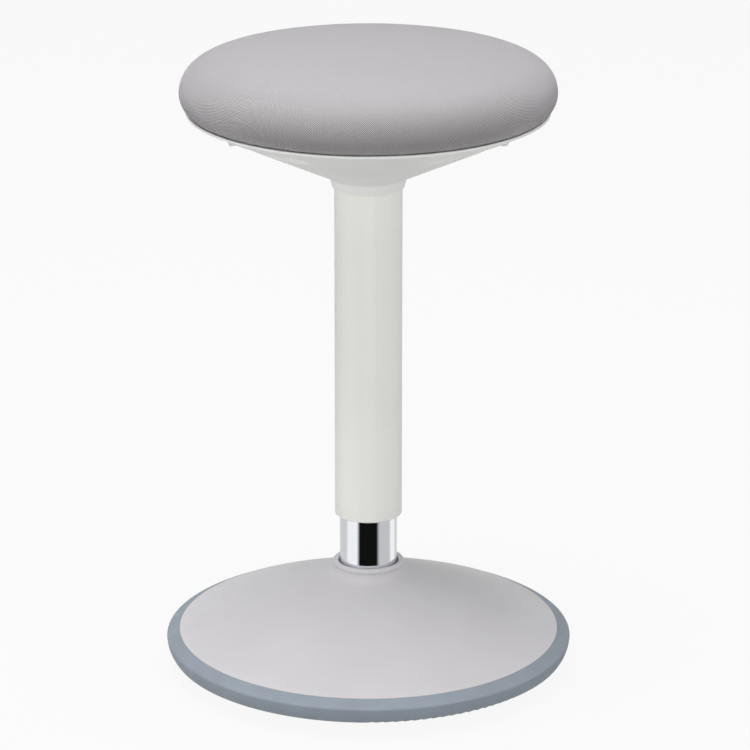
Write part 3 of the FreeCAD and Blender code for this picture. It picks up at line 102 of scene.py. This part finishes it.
class Shader:
    """Short calls that build one material's node tree round a Principled shader."""

    def __init__(self, name, roughness=0.5, metallic=0.0, specular=0.5):
        self.material = bpy.data.materials.new(name)
        self.material.use_nodes = True
        self.tree = self.material.node_tree
        self.tree.nodes.clear()
        self.output = self.node("ShaderNodeOutputMaterial")
        self.skin = self.node("ShaderNodeBsdfPrincipled")
        self.skin.inputs["Roughness"].default_value = roughness
        self.skin.inputs["Metallic"].default_value = metallic
        self.skin.inputs["Specular IOR Level"].default_value = specular
        self.join(self.skin.outputs["BSDF"], self.output.inputs["Surface"])

    def node(self, kind, **settings):
        made = self.tree.nodes.new(kind)
        for name, value in settings.items():
            setattr(made, name, value)
        return made

    def join(self, source, target):
        self.tree.links.new(source, target)

    def place(self, stretch=(1, 1, 1)):
        """Object coordinates, stretched along the axes."""
        where = self.node("ShaderNodeTexCoord")
        mapping = self.node("ShaderNodeMapping")
        mapping.inputs["Scale"].default_value = stretch
        self.join(where.outputs["Object"], mapping.inputs["Vector"])
        return mapping.outputs["Vector"]

    def noise(self, size, detail=3.0, stretch=(1, 1, 1), place=None):
        """Noise whose features are about size metres across."""
        made = self.node("ShaderNodeTexNoise")
        made.inputs["Scale"].default_value = 1 / size
        made.inputs["Detail"].default_value = detail
        self.join(place or self.place(stretch), made.inputs["Vector"])
        return made.outputs["Fac"]

    def ramp(self, source, stops):
        made = self.node("ShaderNodeValToRGB")
        elements = made.color_ramp.elements
        while len(elements) < len(stops):
            elements.new(0.5)
        for element, (position, colour) in zip(elements, stops):
            element.position = position
            element.color = colour
        self.join(source, made.inputs["Fac"])
        return made.outputs["Color"]

    def spread(self, source, low, high, start=0.3, end=0.7):
        """The source's values from start to end, spread from low to high."""
        made = self.node("ShaderNodeMapRange")
        made.inputs["From Min"].default_value = start
        made.inputs["From Max"].default_value = end
        made.inputs["To Min"].default_value = low
        made.inputs["To Max"].default_value = high
        self.join(source, made.inputs["Value"])
        return made.outputs["Result"]

    def math(self, operation, first, second=None):
        made = self.node("ShaderNodeMath", operation=operation)
        for socket, value in zip(made.inputs, (first, second)):
            if value is None:
                continue
            if isinstance(value, (int, float)):
                socket.default_value = value
            else:
                self.join(value, socket)
        return made.outputs["Value"]

    def mix(self, amount, first, second):
        made = self.node("ShaderNodeMix", data_type="RGBA")
        self.join(amount, made.inputs["Factor"])
        for name, value in (("A", first), ("B", second)):
            socket = [s for s in made.inputs if s.name == name and s.type == "RGBA"][0]
            if isinstance(value, tuple):
                socket.default_value = value
            else:
                self.join(value, socket)
        return [s for s in made.outputs if s.type == "RGBA"][0]

    def colour(self, source):
        self.join(source, self.skin.inputs["Base Color"])

    def rough(self, source):
        self.join(source, self.skin.inputs["Roughness"])

    def bump(self, source, depth, strength=1.0):
        """Raised detail, depth metres high."""
        made = self.node("ShaderNodeBump")
        made.inputs["Strength"].default_value = strength
        made.inputs["Distance"].default_value = depth
        self.join(source, made.inputs["Height"])
        self.join(made.outputs["Normal"], self.skin.inputs["Normal"])


def moulded(name, colour, roughness, grain=0.0007, depth=0.00003):
    """Satin moulded plastic: fine spark-eroded grain, faint flow marks and edges painted paler as a
    highlight.
    """
    shader = Shader(name, roughness, specular=0.4)
    flow = shader.noise(0.09, 2.0)
    body = shader.ramp(flow, [(0.3, scaled(colour, 0.97)), (0.7, scaled(colour, 1.03))])
    # Sharp edges are lightened by pointiness: a painted edge highlight.
    edge = shader.node("ShaderNodeNewGeometry").outputs["Pointiness"]
    painted_edge_highlight = shader.spread(edge, 0.0, 0.35, 0.52, 0.62)
    shader.colour(shader.mix(painted_edge_highlight, body, scaled(colour, 1.12)))
    texture = shader.noise(grain, 2.0)
    shader.rough(shader.spread(shader.noise(0.012, 4.0), roughness - 0.04, roughness + 0.05))
    shader.bump(texture, depth)
    return shader.material


def rubber(name, colour, roughness=0.6):
    """Moulded rubber: matt, with a fine skin and a faint dusty bloom."""
    shader = Shader(name, roughness, specular=0.35)
    bloom = shader.noise(0.03, 5.0)
    shader.colour(shader.ramp(bloom, [(0.3, scaled(colour, 0.94)), (0.75, scaled(colour, 1.07))]))
    shader.rough(shader.spread(shader.noise(0.008, 4.0), roughness - 0.06, roughness + 0.08))
    shader.bump(shader.noise(0.0009, 3.0), 0.00005)
    return shader.material


def chrome(name):
    """Bright plating with the faintest polishing lines round the tube."""
    shader = Shader(name, 0.05, metallic=1.0)
    lines = shader.noise(0.004, 3.0, stretch=(1, 1, 14))
    shader.colour(shader.ramp(lines, [(0.3, srgb(236, 239, 243)), (0.7, srgb(244, 246, 249))]))
    shader.rough(shader.spread(shader.noise(0.02, 4.0), 0.035, 0.07))
    shader.bump(lines, 0.000002)
    return shader.material


def turned_steel(name, colour, roughness=0.32):
    """Machined steel with turning lines."""
    shader = Shader(name, roughness, metallic=1.0)
    lines = shader.noise(0.006, 4.0, stretch=(1, 1, 40))
    shader.colour(shader.ramp(lines, [(0.3, scaled(colour, 0.86)), (0.7, scaled(colour, 1.08))]))
    shader.rough(shader.spread(lines, roughness - 0.06, roughness + 0.1))
    shader.bump(lines, 0.00001)
    return shader.material


def zinc(name):
    """Zinc plate with its patchy crystals."""
    shader = Shader(name, 0.36, metallic=1.0)
    crystals = shader.node("ShaderNodeTexVoronoi")
    crystals.inputs["Scale"].default_value = 900.0
    shader.join(shader.place(), crystals.inputs["Vector"])
    patches = crystals.outputs["Distance"]
    shader.colour(shader.ramp(patches, [(0.1, srgb(178, 181, 186)), (0.8, srgb(206, 208, 212))]))
    shader.rough(shader.spread(patches, 0.3, 0.46, 0.1, 0.8))
    shader.bump(patches, 0.00001)
    return shader.material


def cast_iron(name):
    """Painted sand casting: coarse skin under dark paint."""
    shader = Shader(name, 0.6, specular=0.4)
    skin = shader.noise(0.0022, 6.0)
    shader.colour(shader.ramp(skin, [(0.3, srgb(38, 39, 42)), (0.75, srgb(66, 67, 70))]))
    shader.rough(shader.spread(skin, 0.5, 0.75))
    shader.bump(skin, 0.0004)
    return shader.material


def powder_coat(name, colour):
    """Black powder coat with orange peel."""
    shader = Shader(name, 0.38, specular=0.5)
    peel = shader.noise(0.0016, 2.0)
    shader.colour(shader.ramp(peel, [(0.3, scaled(colour, 0.9)), (0.7, scaled(colour, 1.15))]))
    shader.rough(shader.spread(peel, 0.32, 0.46))
    shader.bump(peel, 0.00008)
    return shader.material


def plywood(name):
    """Birch face veneer along X, with plies showing at the edge."""
    shader = Shader(name, 0.55, specular=0.3)
    grain = shader.noise(0.006, 6.0, stretch=(0.07, 1, 6))
    early, middle, late = srgb(196, 160, 112), srgb(222, 190, 143), srgb(232, 206, 165)
    face = shader.ramp(grain, [(0.25, early), (0.55, middle), (0.8, late)])
    plies = shader.node("ShaderNodeTexWave", wave_type="BANDS", bands_direction="Z")
    plies.inputs["Scale"].default_value = 120.0
    plies.inputs["Distortion"].default_value = 0.4
    shader.join(shader.place(), plies.inputs["Vector"])
    stripe = shader.spread(plies.outputs["Fac"], 0.0, 0.45)
    shader.colour(shader.mix(stripe, face, srgb(150, 112, 72)))
    shader.bump(grain, 0.0001)
    return shader.material


def seat_cloth(name):
    """Plain woven cloth, light threads over dark ones, placed by the cloth attribute. Its third part runs
    from 0 on the crown
    to 1 where the seat is widest: there the weave takes darker, more contrasted tones, painted shade on the
    side and front."""
    shader = Shader(name, 0.92, specular=0.1)
    skin = shader.skin
    skin.inputs["Sheen Weight"].default_value = 0.8
    skin.inputs["Sheen Roughness"].default_value = 0.4
    skin.inputs["Sheen Tint"].default_value = srgb(228, 226, 232)
    spread = shader.node("ShaderNodeAttribute", attribute_name="cloth")
    place = spread.outputs["Vector"]
    wander = shader.noise(0.02, 2.0, place=place)
    split = shader.node("ShaderNodeSeparateXYZ")
    shader.join(place, split.inputs["Vector"])
    turn = 2 * math.pi / THREAD_PITCH
    drift = shader.math("MULTIPLY", wander, 2.2)
    across = shader.math("MULTIPLY", split.outputs["X"], turn)
    along = shader.math("MULTIPLY", split.outputs["Y"], turn)
    warp = shader.math("SINE", shader.math("ADD", across, drift))
    weft = shader.math("SINE", shader.math("ADD", along, drift))
    weave = shader.math("MULTIPLY", warp, weft)
    fibres = shader.noise(0.0007, 3.0, place=place)
    slubs = shader.noise(0.011, 4.0, place=place)
    height = shader.math("ADD", weave, shader.math("MULTIPLY", fibres, 0.9))
    tone = shader.spread(height, 0.0, 1.0, -0.6, 1.5)
    # Two tone sets for the weave: the crown's, and darker ones for the side, whose deep gaps are painted
    # shade.
    unshaded_weave_stops = [(0.0, srgb(118, 115, 116)), (0.42, srgb(171, 168, 170)), (1.0, srgb(220, 218, 221))]
    shaded_weave_stops = [(0.0, srgb(34, 31, 31)), (0.42, srgb(122, 118, 118)), (1.0, srgb(208, 205, 207))]
    crown = shader.ramp(tone, unshaded_weave_stops)
    side = shader.ramp(tone, shaded_weave_stops)
    tint = shader.ramp(slubs, [(0.3, srgb(150, 147, 149)), (0.7, srgb(172, 169, 172))])
    crown = shader.mix(shader.spread(slubs, 0.1, 0.3), crown, tint)
    # The darker side tones blend in from the crown to the widest part: painted shade on the side and front.
    side_shade_share = shader.spread(split.outputs["Z"], 0.0, 1.0, 0.2, 1.2)
    shader.colour(shader.mix(side_shade_share, crown, side))
    shader.bump(height, THREAD_PITCH * 0.16, 0.7)
    return shader.material


def smooth(obj, angle=35):
    """Smooth shading, with edges sharper than the angle left crisp."""
    obj.data.shade_smooth()
    obj.data.set_sharp_from_angle(angle=math.radians(angle))


def paint(material, *names):
    for name in names:
        obj = NODES[name]
        obj.data.materials.clear()
        obj.data.materials.append(material)
        smooth(obj)


# Cushion
def seat_sizes():
    """The cushion's sizes, read from the frame's own cover and board."""
    low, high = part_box("seat_cover")
    board_low, board_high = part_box("seat_board")
    return {
        "radius": (high.x - low.x) / 2 - CLOTH_CLEAR,
        "top": high.z - CLOTH_CLEAR,
        "widest": high.z - CROWN_RISE,
        "board_radius": (board_high.x - board_low.x) / 2,
        "board_low": board_low.z,
        "board_high": board_high.z,
    }


def arc(centre, radius, start, end, steps):
    """Points on an arc of the side view, angles in degrees above the horizontal."""
    points = []
    for i in range(1, steps + 1):
        turn = math.radians(start + (end - start) * i / steps)
        points.append((centre[0] + radius * math.cos(turn), centre[1] + radius * math.sin(turn)))
    return points


def cushion_profile(sizes):
    """Points (radius, height) from the top centre over the crown, shoulder and side to the tuck."""
    radius, top, widest = sizes["radius"], sizes["top"], sizes["widest"]
    rise = top - widest
    crown = (radius ** 2 + rise ** 2 - 2 * radius * SHOULDER_ARC) / (2 * (rise - SHOULDER_ARC))
    crown_end = math.degrees(math.acos((radius - SHOULDER_ARC) / (crown - SHOULDER_ARC)))
    side = radius - SIDE_ARC
    reach = SIDE_ARC - TUCK_ARC
    lean = math.radians(SIDE_ANGLE)
    tuck = (side + reach * math.cos(lean), widest - reach * math.sin(lean))
    points = [(0.0, top)]
    points += arc((0, top - crown), crown, 90, crown_end, CROWN_STEPS)
    points += arc((radius - SHOULDER_ARC, widest), SHOULDER_ARC, crown_end, 0, 16)
    points += arc((side, widest), SIDE_ARC, 0, -SIDE_ANGLE, 8)
    points += arc(tuck, TUCK_ARC, -SIDE_ANGLE, -90, 5)
    return points


def along_profile(profile):
    """Length of cloth from the top centre to each point of the side view."""
    lengths = [0.0]
    for first, second in zip(profile, profile[1:]):
        lengths.append(lengths[-1] + math.dist(first, second))
    return lengths


def closest(profile, radii, heights):
    """For each point, the closest place on the side view: its radius, its height and the length of
    cloth to it."""
    lengths = along_profile(profile)
    best = numpy.full(len(radii), numpy.inf)
    places = numpy.zeros((3, len(radii)))
    for i, ((r0, z0), (r1, z1)) in enumerate(zip(profile, profile[1:])):
        run_r, run_z = r1 - r0, z1 - z0
        share = ((radii - r0) * run_r + (heights - z0) * run_z) / (run_r ** 2 + run_z ** 2)
        share = numpy.clip(share, 0.0, 1.0)
        found = numpy.array([r0 + run_r * share, z0 + run_z * share,
                             lengths[i] + (lengths[i + 1] - lengths[i]) * share])
        gap = numpy.hypot(found[0] - radii, found[1] - heights)
        nearer = gap < best
        best[nearer] = gap[nearer]
        places[:, nearer] = found[:, nearer]
    return places


def lathe(name, profile, segments):
    """A closed mesh from a side view that starts and ends on the axis."""
    build = bmesh.new()
    poles = [build.verts.new((0, 0, profile[0][1])), build.verts.new((0, 0, profile[-1][1]))]
    rings = []
    for radius, height in profile[1:-1]:
        turns = [2 * math.pi * i / segments for i in range(segments)]
        rings.append([build.verts.new((radius * math.cos(t), radius * math.sin(t), height)) for t in turns])
    for i in range(segments):
        after = (i + 1) % segments
        build.faces.new((poles[0], rings[0][i], rings[0][after]))
        build.faces.new((poles[1], rings[-1][after], rings[-1][i]))
        for upper, lower in zip(rings, rings[1:]):
            build.faces.new((upper[i], lower[i], lower[after], upper[after]))
    mesh = bpy.data.meshes.new(name)
    build.to_mesh(mesh)
    build.free()
    made = bpy.data.objects.new(name, mesh)
    bpy.context.scene.collection.objects.link(made)
    return made


def apply_modifiers(obj):
    """Bake the modifiers into the object's own mesh."""
    graph = bpy.context.evaluated_depsgraph_get()
    baked = bpy.data.meshes.new_from_object(obj.evaluated_get(graph))
    old = obj.data
    obj.modifiers.clear()
    obj.data = baked
    bpy.data.meshes.remove(old)


def stretch_cloth(cushion, sizes):
    """Blow the shrunken shape up against its stretch, held at the board, then cap how far it moved."""
    before = [vert.co.copy() for vert in cushion.data.vertices]
    held = cushion.vertex_groups.new(name="held")
    for vert in cushion.data.vertices:
        if vert.co.z < sizes["board_low"] + CLOTH_VOXEL:
            held.add([vert.index], 1.0, "REPLACE")
    cloth = cushion.modifiers.new("cloth", "CLOTH")
    cloth.settings.quality = 4
    cloth.settings.mass = 0.3
    cloth.settings.tension_stiffness = 15
    cloth.settings.compression_stiffness = 15
    cloth.settings.bending_stiffness = 2
    cloth.settings.use_pressure = True
    cloth.settings.uniform_pressure_force = CLOTH_PRESSURE
    cloth.settings.vertex_group_mass = "held"
    cloth.settings.effector_weights.gravity = 0
    cloth.collision_settings.use_self_collision = False
    cloth.point_cache.frame_start = 1
    cloth.point_cache.frame_end = CLOTH_FRAMES
    scene = bpy.context.scene
    for step in range(1, CLOTH_FRAMES + 1):
        scene.frame_set(step)
    apply_modifiers(cushion)
    scene.frame_set(1)
    for vert, start in zip(cushion.data.vertices, before):
        shift = vert.co - start
        if shift.length > CLOTH_CAP:
            vert.co = start + shift * (CLOTH_CAP / shift.length)


def polar(mesh):
    """Each vertex as its distance from the axis, its height and its azimuth."""
    flat = numpy.zeros(3 * len(mesh.vertices))
    mesh.vertices.foreach_get("co", flat)
    x, y, z = flat.reshape(-1, 3).T
    return numpy.hypot(x, y), z, numpy.arctan2(y, x)


def settle(cushion, profile, sizes):
    """Bring the stretched cloth to the measured side view, with a little unevenness left in the crown
    and soft puckers where it turns under."""
    mesh = cushion.data
    radii, heights, turns = polar(mesh)
    places = closest(profile, radii, heights)
    under = (radii < profile[-1][0]) & (heights < sizes["widest"])
    drop = sizes["widest"] - profile[-1][1]
    rows = zip(mesh.vertices, turns, under, places[0], places[1])
    for vert, turn, flat, place, height in rows:
        if flat:
            vert.co.z = profile[-1][1]
            continue
        low = min(1.0, max(0.0, (sizes["widest"] - height) / drop))
        wave = math.sin(turn * PUCKER_COUNT + 3 * noise.noise(vert.co * 22))
        pucker = PUCKER_DEPTH * low ** 1.5 * (0.5 + 0.5 * wave)
        give = abs(noise.noise(vert.co * 13)) * SEAT_GIVE
        share = place / sizes["radius"]
        place -= give * share + pucker
        height -= give * (1 - share) * (1 - low)
        vert.co = (place * math.cos(turn), place * math.sin(turn), height)


def hollow_for_board(cushion, sizes):
    """Cut the space for the board out of the cushion, which leaves the hem turned in below it."""
    lining = sizes["board_radius"] + CLOTH_CLEAR
    hem = sizes["board_radius"] - HEM_WIDTH
    seat = sizes["board_low"] - CLOTH_CLEAR / 4
    top = sizes["board_high"] + CLOTH_CLEAR
    below = sizes["board_low"] - 0.01
    outline = [(0, top), (lining, top), (lining, seat), (hem, seat), (hem, below), (0, below)]
    space = lathe("board_space", outline, BOARD_SEGMENTS)
    cut = cushion.modifiers.new("board_space", "BOOLEAN")
    cut.operation = "DIFFERENCE"
    cut.solver = "EXACT"
    cut.object = space
    apply_modifiers(cushion)
    bpy.data.objects.remove(space)


def lay_weave(cushion, profile):
    """Store where each point lies on the flat cloth, measured from the seat's centre, and how much of the
    side's painted
    shade it takes: 0 on the crown, 1 where the seat is widest."""
    mesh = cushion.data
    radii, heights, turns = polar(mesh)
    reach = closest(profile, radii, heights)[2]
    lengths = along_profile(profile)
    widest = max(range(len(profile)), key=lambda i: profile[i][0])
    # The third part sets how much of the side's painted shade the cloth takes, from the crown's end to the
    # widest point.
    start = lengths[CROWN_STEPS] - SIDE_SHADE_LEAD
    flat = numpy.zeros((len(radii), 3))
    flat[:, 2] = numpy.clip((reach - start) / (lengths[widest] - start), 0.0, 1.2)
    flat[:, 0] = reach * numpy.cos(turns)
    flat[:, 1] = reach * numpy.sin(turns)
    cloth = mesh.attributes.new("cloth", "FLOAT_VECTOR", "POINT")
    cloth.data.foreach_set("vector", flat.ravel())


def make_cushion(material):
    """The padded seat: a stretched crown whose cloth turns in under the board, hollow for the board."""
    sizes = seat_sizes()
    profile = cushion_profile(sizes)
    floor = profile[-1][1]
    outline = [(max(0.0, radius - CLOTH_SHRINK), height - CLOTH_SHRINK) for radius, height in profile]
    outline = [point for point in outline if point[1] > floor + CLOTH_SHRINK / 2]
    outline += [(outline[-1][0] - CLOTH_SHRINK, floor), (0.0, floor)]
    cushion = lathe("seat_cushion", outline, CLOTH_SEGMENTS)
    remesh = cushion.modifiers.new("remesh", "REMESH")
    remesh.mode = "VOXEL"
    remesh.voxel_size = CLOTH_VOXEL
    apply_modifiers(cushion)
    stretch_cloth(cushion, sizes)
    finer = cushion.modifiers.new("finer", "SUBSURF")
    finer.levels = 1
    finer.render_levels = 1
    apply_modifiers(cushion)
    settle(cushion, profile, sizes)
    hollow_for_board(cushion, sizes)
    lay_weave(cushion, profile)
    cushion.data.materials.clear()
    cushion.data.materials.append(material)
    smooth(cushion, 50)
    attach(cushion, "seat")
    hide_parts("seat_cover", "foam_pad")


# Stage: floor, cards that the bright tube mirrors, lights, backdrop and camera
def stage_material(name, seen_level, seen_albedo, bounce_albedo):
    """Shown to the camera and to mirrors as an even pale ground that still takes shadow; it bounces
    its own share of light onto the object. It is clear from below."""
    material = bpy.data.materials.new(name)
    material.use_nodes = True
    tree = material.node_tree
    tree.nodes.clear()
    join = tree.links.new
    output = tree.nodes.new("ShaderNodeOutputMaterial")
    shown = tree.nodes.new("ShaderNodeBsdfDiffuse")
    shown.inputs["Color"].default_value = (seen_albedo, seen_albedo, seen_albedo, 1)
    bounce = tree.nodes.new("ShaderNodeBsdfDiffuse")
    bounce.inputs["Color"].default_value = (bounce_albedo, bounce_albedo, bounce_albedo, 1)
    glow = tree.nodes.new("ShaderNodeEmission")
    glow.inputs["Strength"].default_value = seen_level
    lit = tree.nodes.new("ShaderNodeAddShader")
    path = tree.nodes.new("ShaderNodeLightPath")
    seen = tree.nodes.new("ShaderNodeMath")
    seen.operation = "MAXIMUM"
    choose = tree.nodes.new("ShaderNodeMixShader")
    below = tree.nodes.new("ShaderNodeMixShader")
    clear = tree.nodes.new("ShaderNodeBsdfTransparent")
    side = tree.nodes.new("ShaderNodeNewGeometry")
    join(shown.outputs[0], lit.inputs[0])
    join(glow.outputs[0], lit.inputs[1])
    join(path.outputs["Is Camera Ray"], seen.inputs[0])
    join(path.outputs["Is Glossy Ray"], seen.inputs[1])
    join(seen.outputs[0], choose.inputs[0])
    join(bounce.outputs[0], choose.inputs[1])
    join(lit.outputs[0], choose.inputs[2])
    join(side.outputs["Backfacing"], below.inputs[0])
    join(choose.outputs[0], below.inputs[1])
    join(clear.outputs[0], below.inputs[2])
    join(below.outputs[0], output.inputs["Surface"])
    return material


def make_floor():
    half = FLOOR_HALF
    corners = [(-half, -half, 0), (half, -half, 0), (half, half, 0), (-half, half, 0)]
    mesh = bpy.data.meshes.new("stage_floor")
    mesh.from_pydata(corners, [], [(0, 1, 2, 3)])
    floor = bpy.data.objects.new("stage_floor", mesh)
    bpy.context.scene.collection.objects.link(floor)
    ground = stage_material("stage_floor", seen_level=0.92, seen_albedo=0.04, bounce_albedo=0.45)
    mesh.materials.append(ground)


def make_card(name, near, far, middle, half_angle, level, edge=0.2, height=0.001):
    """A card on the floor that only mirrors see, from near to far along an azimuth. Its sides fade
    over the edge's share of its half angle."""
    points, faces, shades = [], [], []
    for i in range(CARD_STEPS + 1):
        share = 2 * i / CARD_STEPS - 1
        turn = math.radians(middle + half_angle * share)
        for reach in (near, far):
            points.append((reach * math.cos(turn), reach * math.sin(turn), height))
            shades.append(min(1.0, (1 - abs(share)) / edge))
        if i:
            faces.append((2 * i - 2, 2 * i - 1, 2 * i + 1, 2 * i))
    mesh = bpy.data.meshes.new(name)
    mesh.from_pydata(points, [], faces)
    fade = mesh.attributes.new("fade", "FLOAT", "POINT")
    fade.data.foreach_set("value", shades)
    card = bpy.data.objects.new(name, mesh)
    bpy.context.scene.collection.objects.link(card)
    material = bpy.data.materials.new(name)
    material.use_nodes = True
    tree = material.node_tree
    tree.nodes.clear()
    output = tree.nodes.new("ShaderNodeOutputMaterial")
    glow = tree.nodes.new("ShaderNodeEmission")
    glow.inputs["Color"].default_value = (level, level, level, 1)
    clear = tree.nodes.new("ShaderNodeBsdfTransparent")
    amount = tree.nodes.new("ShaderNodeAttribute")
    amount.attribute_name = "fade"
    mix = tree.nodes.new("ShaderNodeMixShader")
    tree.links.new(amount.outputs["Fac"], mix.inputs[0])
    tree.links.new(clear.outputs[0], mix.inputs[1])
    tree.links.new(glow.outputs[0], mix.inputs[2])
    tree.links.new(mix.outputs[0], output.inputs["Surface"])
    mesh.materials.append(material)
    for ray in ("camera", "diffuse", "transmission", "shadow", "volume_scatter"):
        setattr(card, "visible_" + ray, False)


def make_light(name, location, size, power):
    data = bpy.data.lights.new(name, "AREA")
    data.shape = "SQUARE"
    data.size = size
    data.energy = power
    light = bpy.data.objects.new(name, data)
    light.location = location
    aim = Vector(LIGHT_TARGET) - Vector(location)
    light.rotation_euler = aim.to_track_quat("-Z", "Y").to_euler()
    bpy.context.scene.collection.objects.link(light)


def make_world():
    """Soft light that comes mostly from above; the camera and mirrors see an even pale backdrop."""
    world = bpy.data.worlds.new("studio")
    bpy.context.scene.world = world
    world.use_nodes = True
    tree = world.node_tree
    tree.nodes.clear()
    join = tree.links.new
    output = tree.nodes.new("ShaderNodeOutputWorld")
    where = tree.nodes.new("ShaderNodeTexCoord")
    split = tree.nodes.new("ShaderNodeSeparateXYZ")
    rise = tree.nodes.new("ShaderNodeMapRange")
    rise.inputs["From Min"].default_value = -0.2
    rise.inputs["From Max"].default_value = 1.0
    rise.inputs["To Min"].default_value = WORLD_LOW
    rise.inputs["To Max"].default_value = WORLD_HIGH
    ambient = tree.nodes.new("ShaderNodeBackground")
    backdrop = tree.nodes.new("ShaderNodeBackground")
    backdrop.inputs["Color"].default_value = (1, 1, 1, 1)
    backdrop.inputs["Strength"].default_value = BACKDROP
    path = tree.nodes.new("ShaderNodeLightPath")
    glossy = tree.nodes.new("ShaderNodeMath")
    glossy.operation = "MAXIMUM"
    seen = tree.nodes.new("ShaderNodeMath")
    seen.operation = "MAXIMUM"
    choose = tree.nodes.new("ShaderNodeMixShader")
    join(where.outputs["Generated"], split.inputs[0])
    join(split.outputs["Z"], rise.inputs["Value"])
    join(rise.outputs["Result"], ambient.inputs["Strength"])
    join(path.outputs["Is Glossy Ray"], glossy.inputs[0])
    join(path.outputs["Is Transmission Ray"], glossy.inputs[1])
    join(path.outputs["Is Camera Ray"], seen.inputs[0])
    join(glossy.outputs[0], seen.inputs[1])
    join(seen.outputs[0], choose.inputs[0])
    join(ambient.outputs[0], choose.inputs[1])
    join(backdrop.outputs[0], choose.inputs[2])
    join(choose.outputs[0], output.inputs["Surface"])


def make_camera():
    data = bpy.data.cameras.new("camera")
    data.lens = CAMERA_LENS
    data.shift_x = CAMERA_SHIFT
    camera = bpy.data.objects.new("camera", data)
    camera.location = (0, -CAMERA_DISTANCE, CAMERA_HEIGHT)
    camera.rotation_euler = (CAMERA_TILT, 0, 0)
    bpy.context.scene.collection.objects.link(camera)
    bpy.context.scene.camera = camera


def dress_frame():
    paint(moulded("base_cover_satin", srgb(201, 199, 202), 0.4), "base_cover")
    paint(rubber("ring_rubber", srgb(141, 150, 160)), "bumper_ring")
    paint(moulded("underside_plastic", srgb(86, 88, 92), 0.55, 0.0011, 0.00006), "rocker_plate")
    paint(rubber("tread_rubber", srgb(44, 44, 47), 0.75), "rocker_pad", "bump_stop")
    paint(cast_iron("cast_iron"), "base_weight")
    paint(turned_steel("machined_steel", srgb(176, 178, 182)), "column_socket", "tube_end_plate",
          "bearing_lower_washer", "bearing_upper_washer", "rod_clip", "piston", "taper_socket", "valve_pin")
    paint(zinc("zinc_plate"), "base_screws", "weight_screws", "socket_bolts", "bracket_bolts", "tee_nuts",
          "staples", "shell_screws", "pivot_pins", "pivot_clips")
    paint(chrome("bright_chrome"), "column_tube", "piston_rod")
    paint(moulded("black_acetal", srgb(40, 40, 42), 0.35), "guide_bush", "bearing_cage", "cylinder_gland",
          "sleeve_bush", "sleeve_plug", "valve_cap")
    paint(powder_coat("black_coat", srgb(34, 34, 36)), "gas_cylinder", "seat_bracket")
    paint(moulded("sleeve_satin", srgb(235, 235, 230), 0.38), "sleeve_tube")
    paint(moulded("shell_satin", srgb(232, 233, 230), 0.36), "under_shell")
    paint(moulded("paddle_satin", srgb(232, 233, 230), 0.36), "left_paddle", "right_paddle")
    paint(plywood("birch_plywood"), "seat_board")


dress_frame()
make_cushion(seat_cloth("seat_cloth"))
make_floor()
make_world()
make_camera()
make_card("stage_dark_card", near=0.19, far=2.4, middle=-91, half_angle=46, level=0.006, edge=0.26)
make_card("stage_grey_card", near=0.25, far=3.0, middle=108, half_angle=76, level=0.66)
make_card("stage_right_card", near=0.19, far=2.4, middle=-24, half_angle=34, level=0.58, edge=0.3,
          height=0.0005)
make_light("overhead", location=(-0.3, -0.2, 2.6), size=1.8, power=52)
make_light("left_fill", location=(-2.8, -1.2, 0.7), size=1.2, power=21)
make_light("right_fill", location=(2.8, -1.2, 0.7), size=1.2, power=15)
make_light("front_fill", location=(0.2, -3.2, 0.4), size=0.7, power=24)

bpy.context.scene.view_settings.view_transform = "Standard"
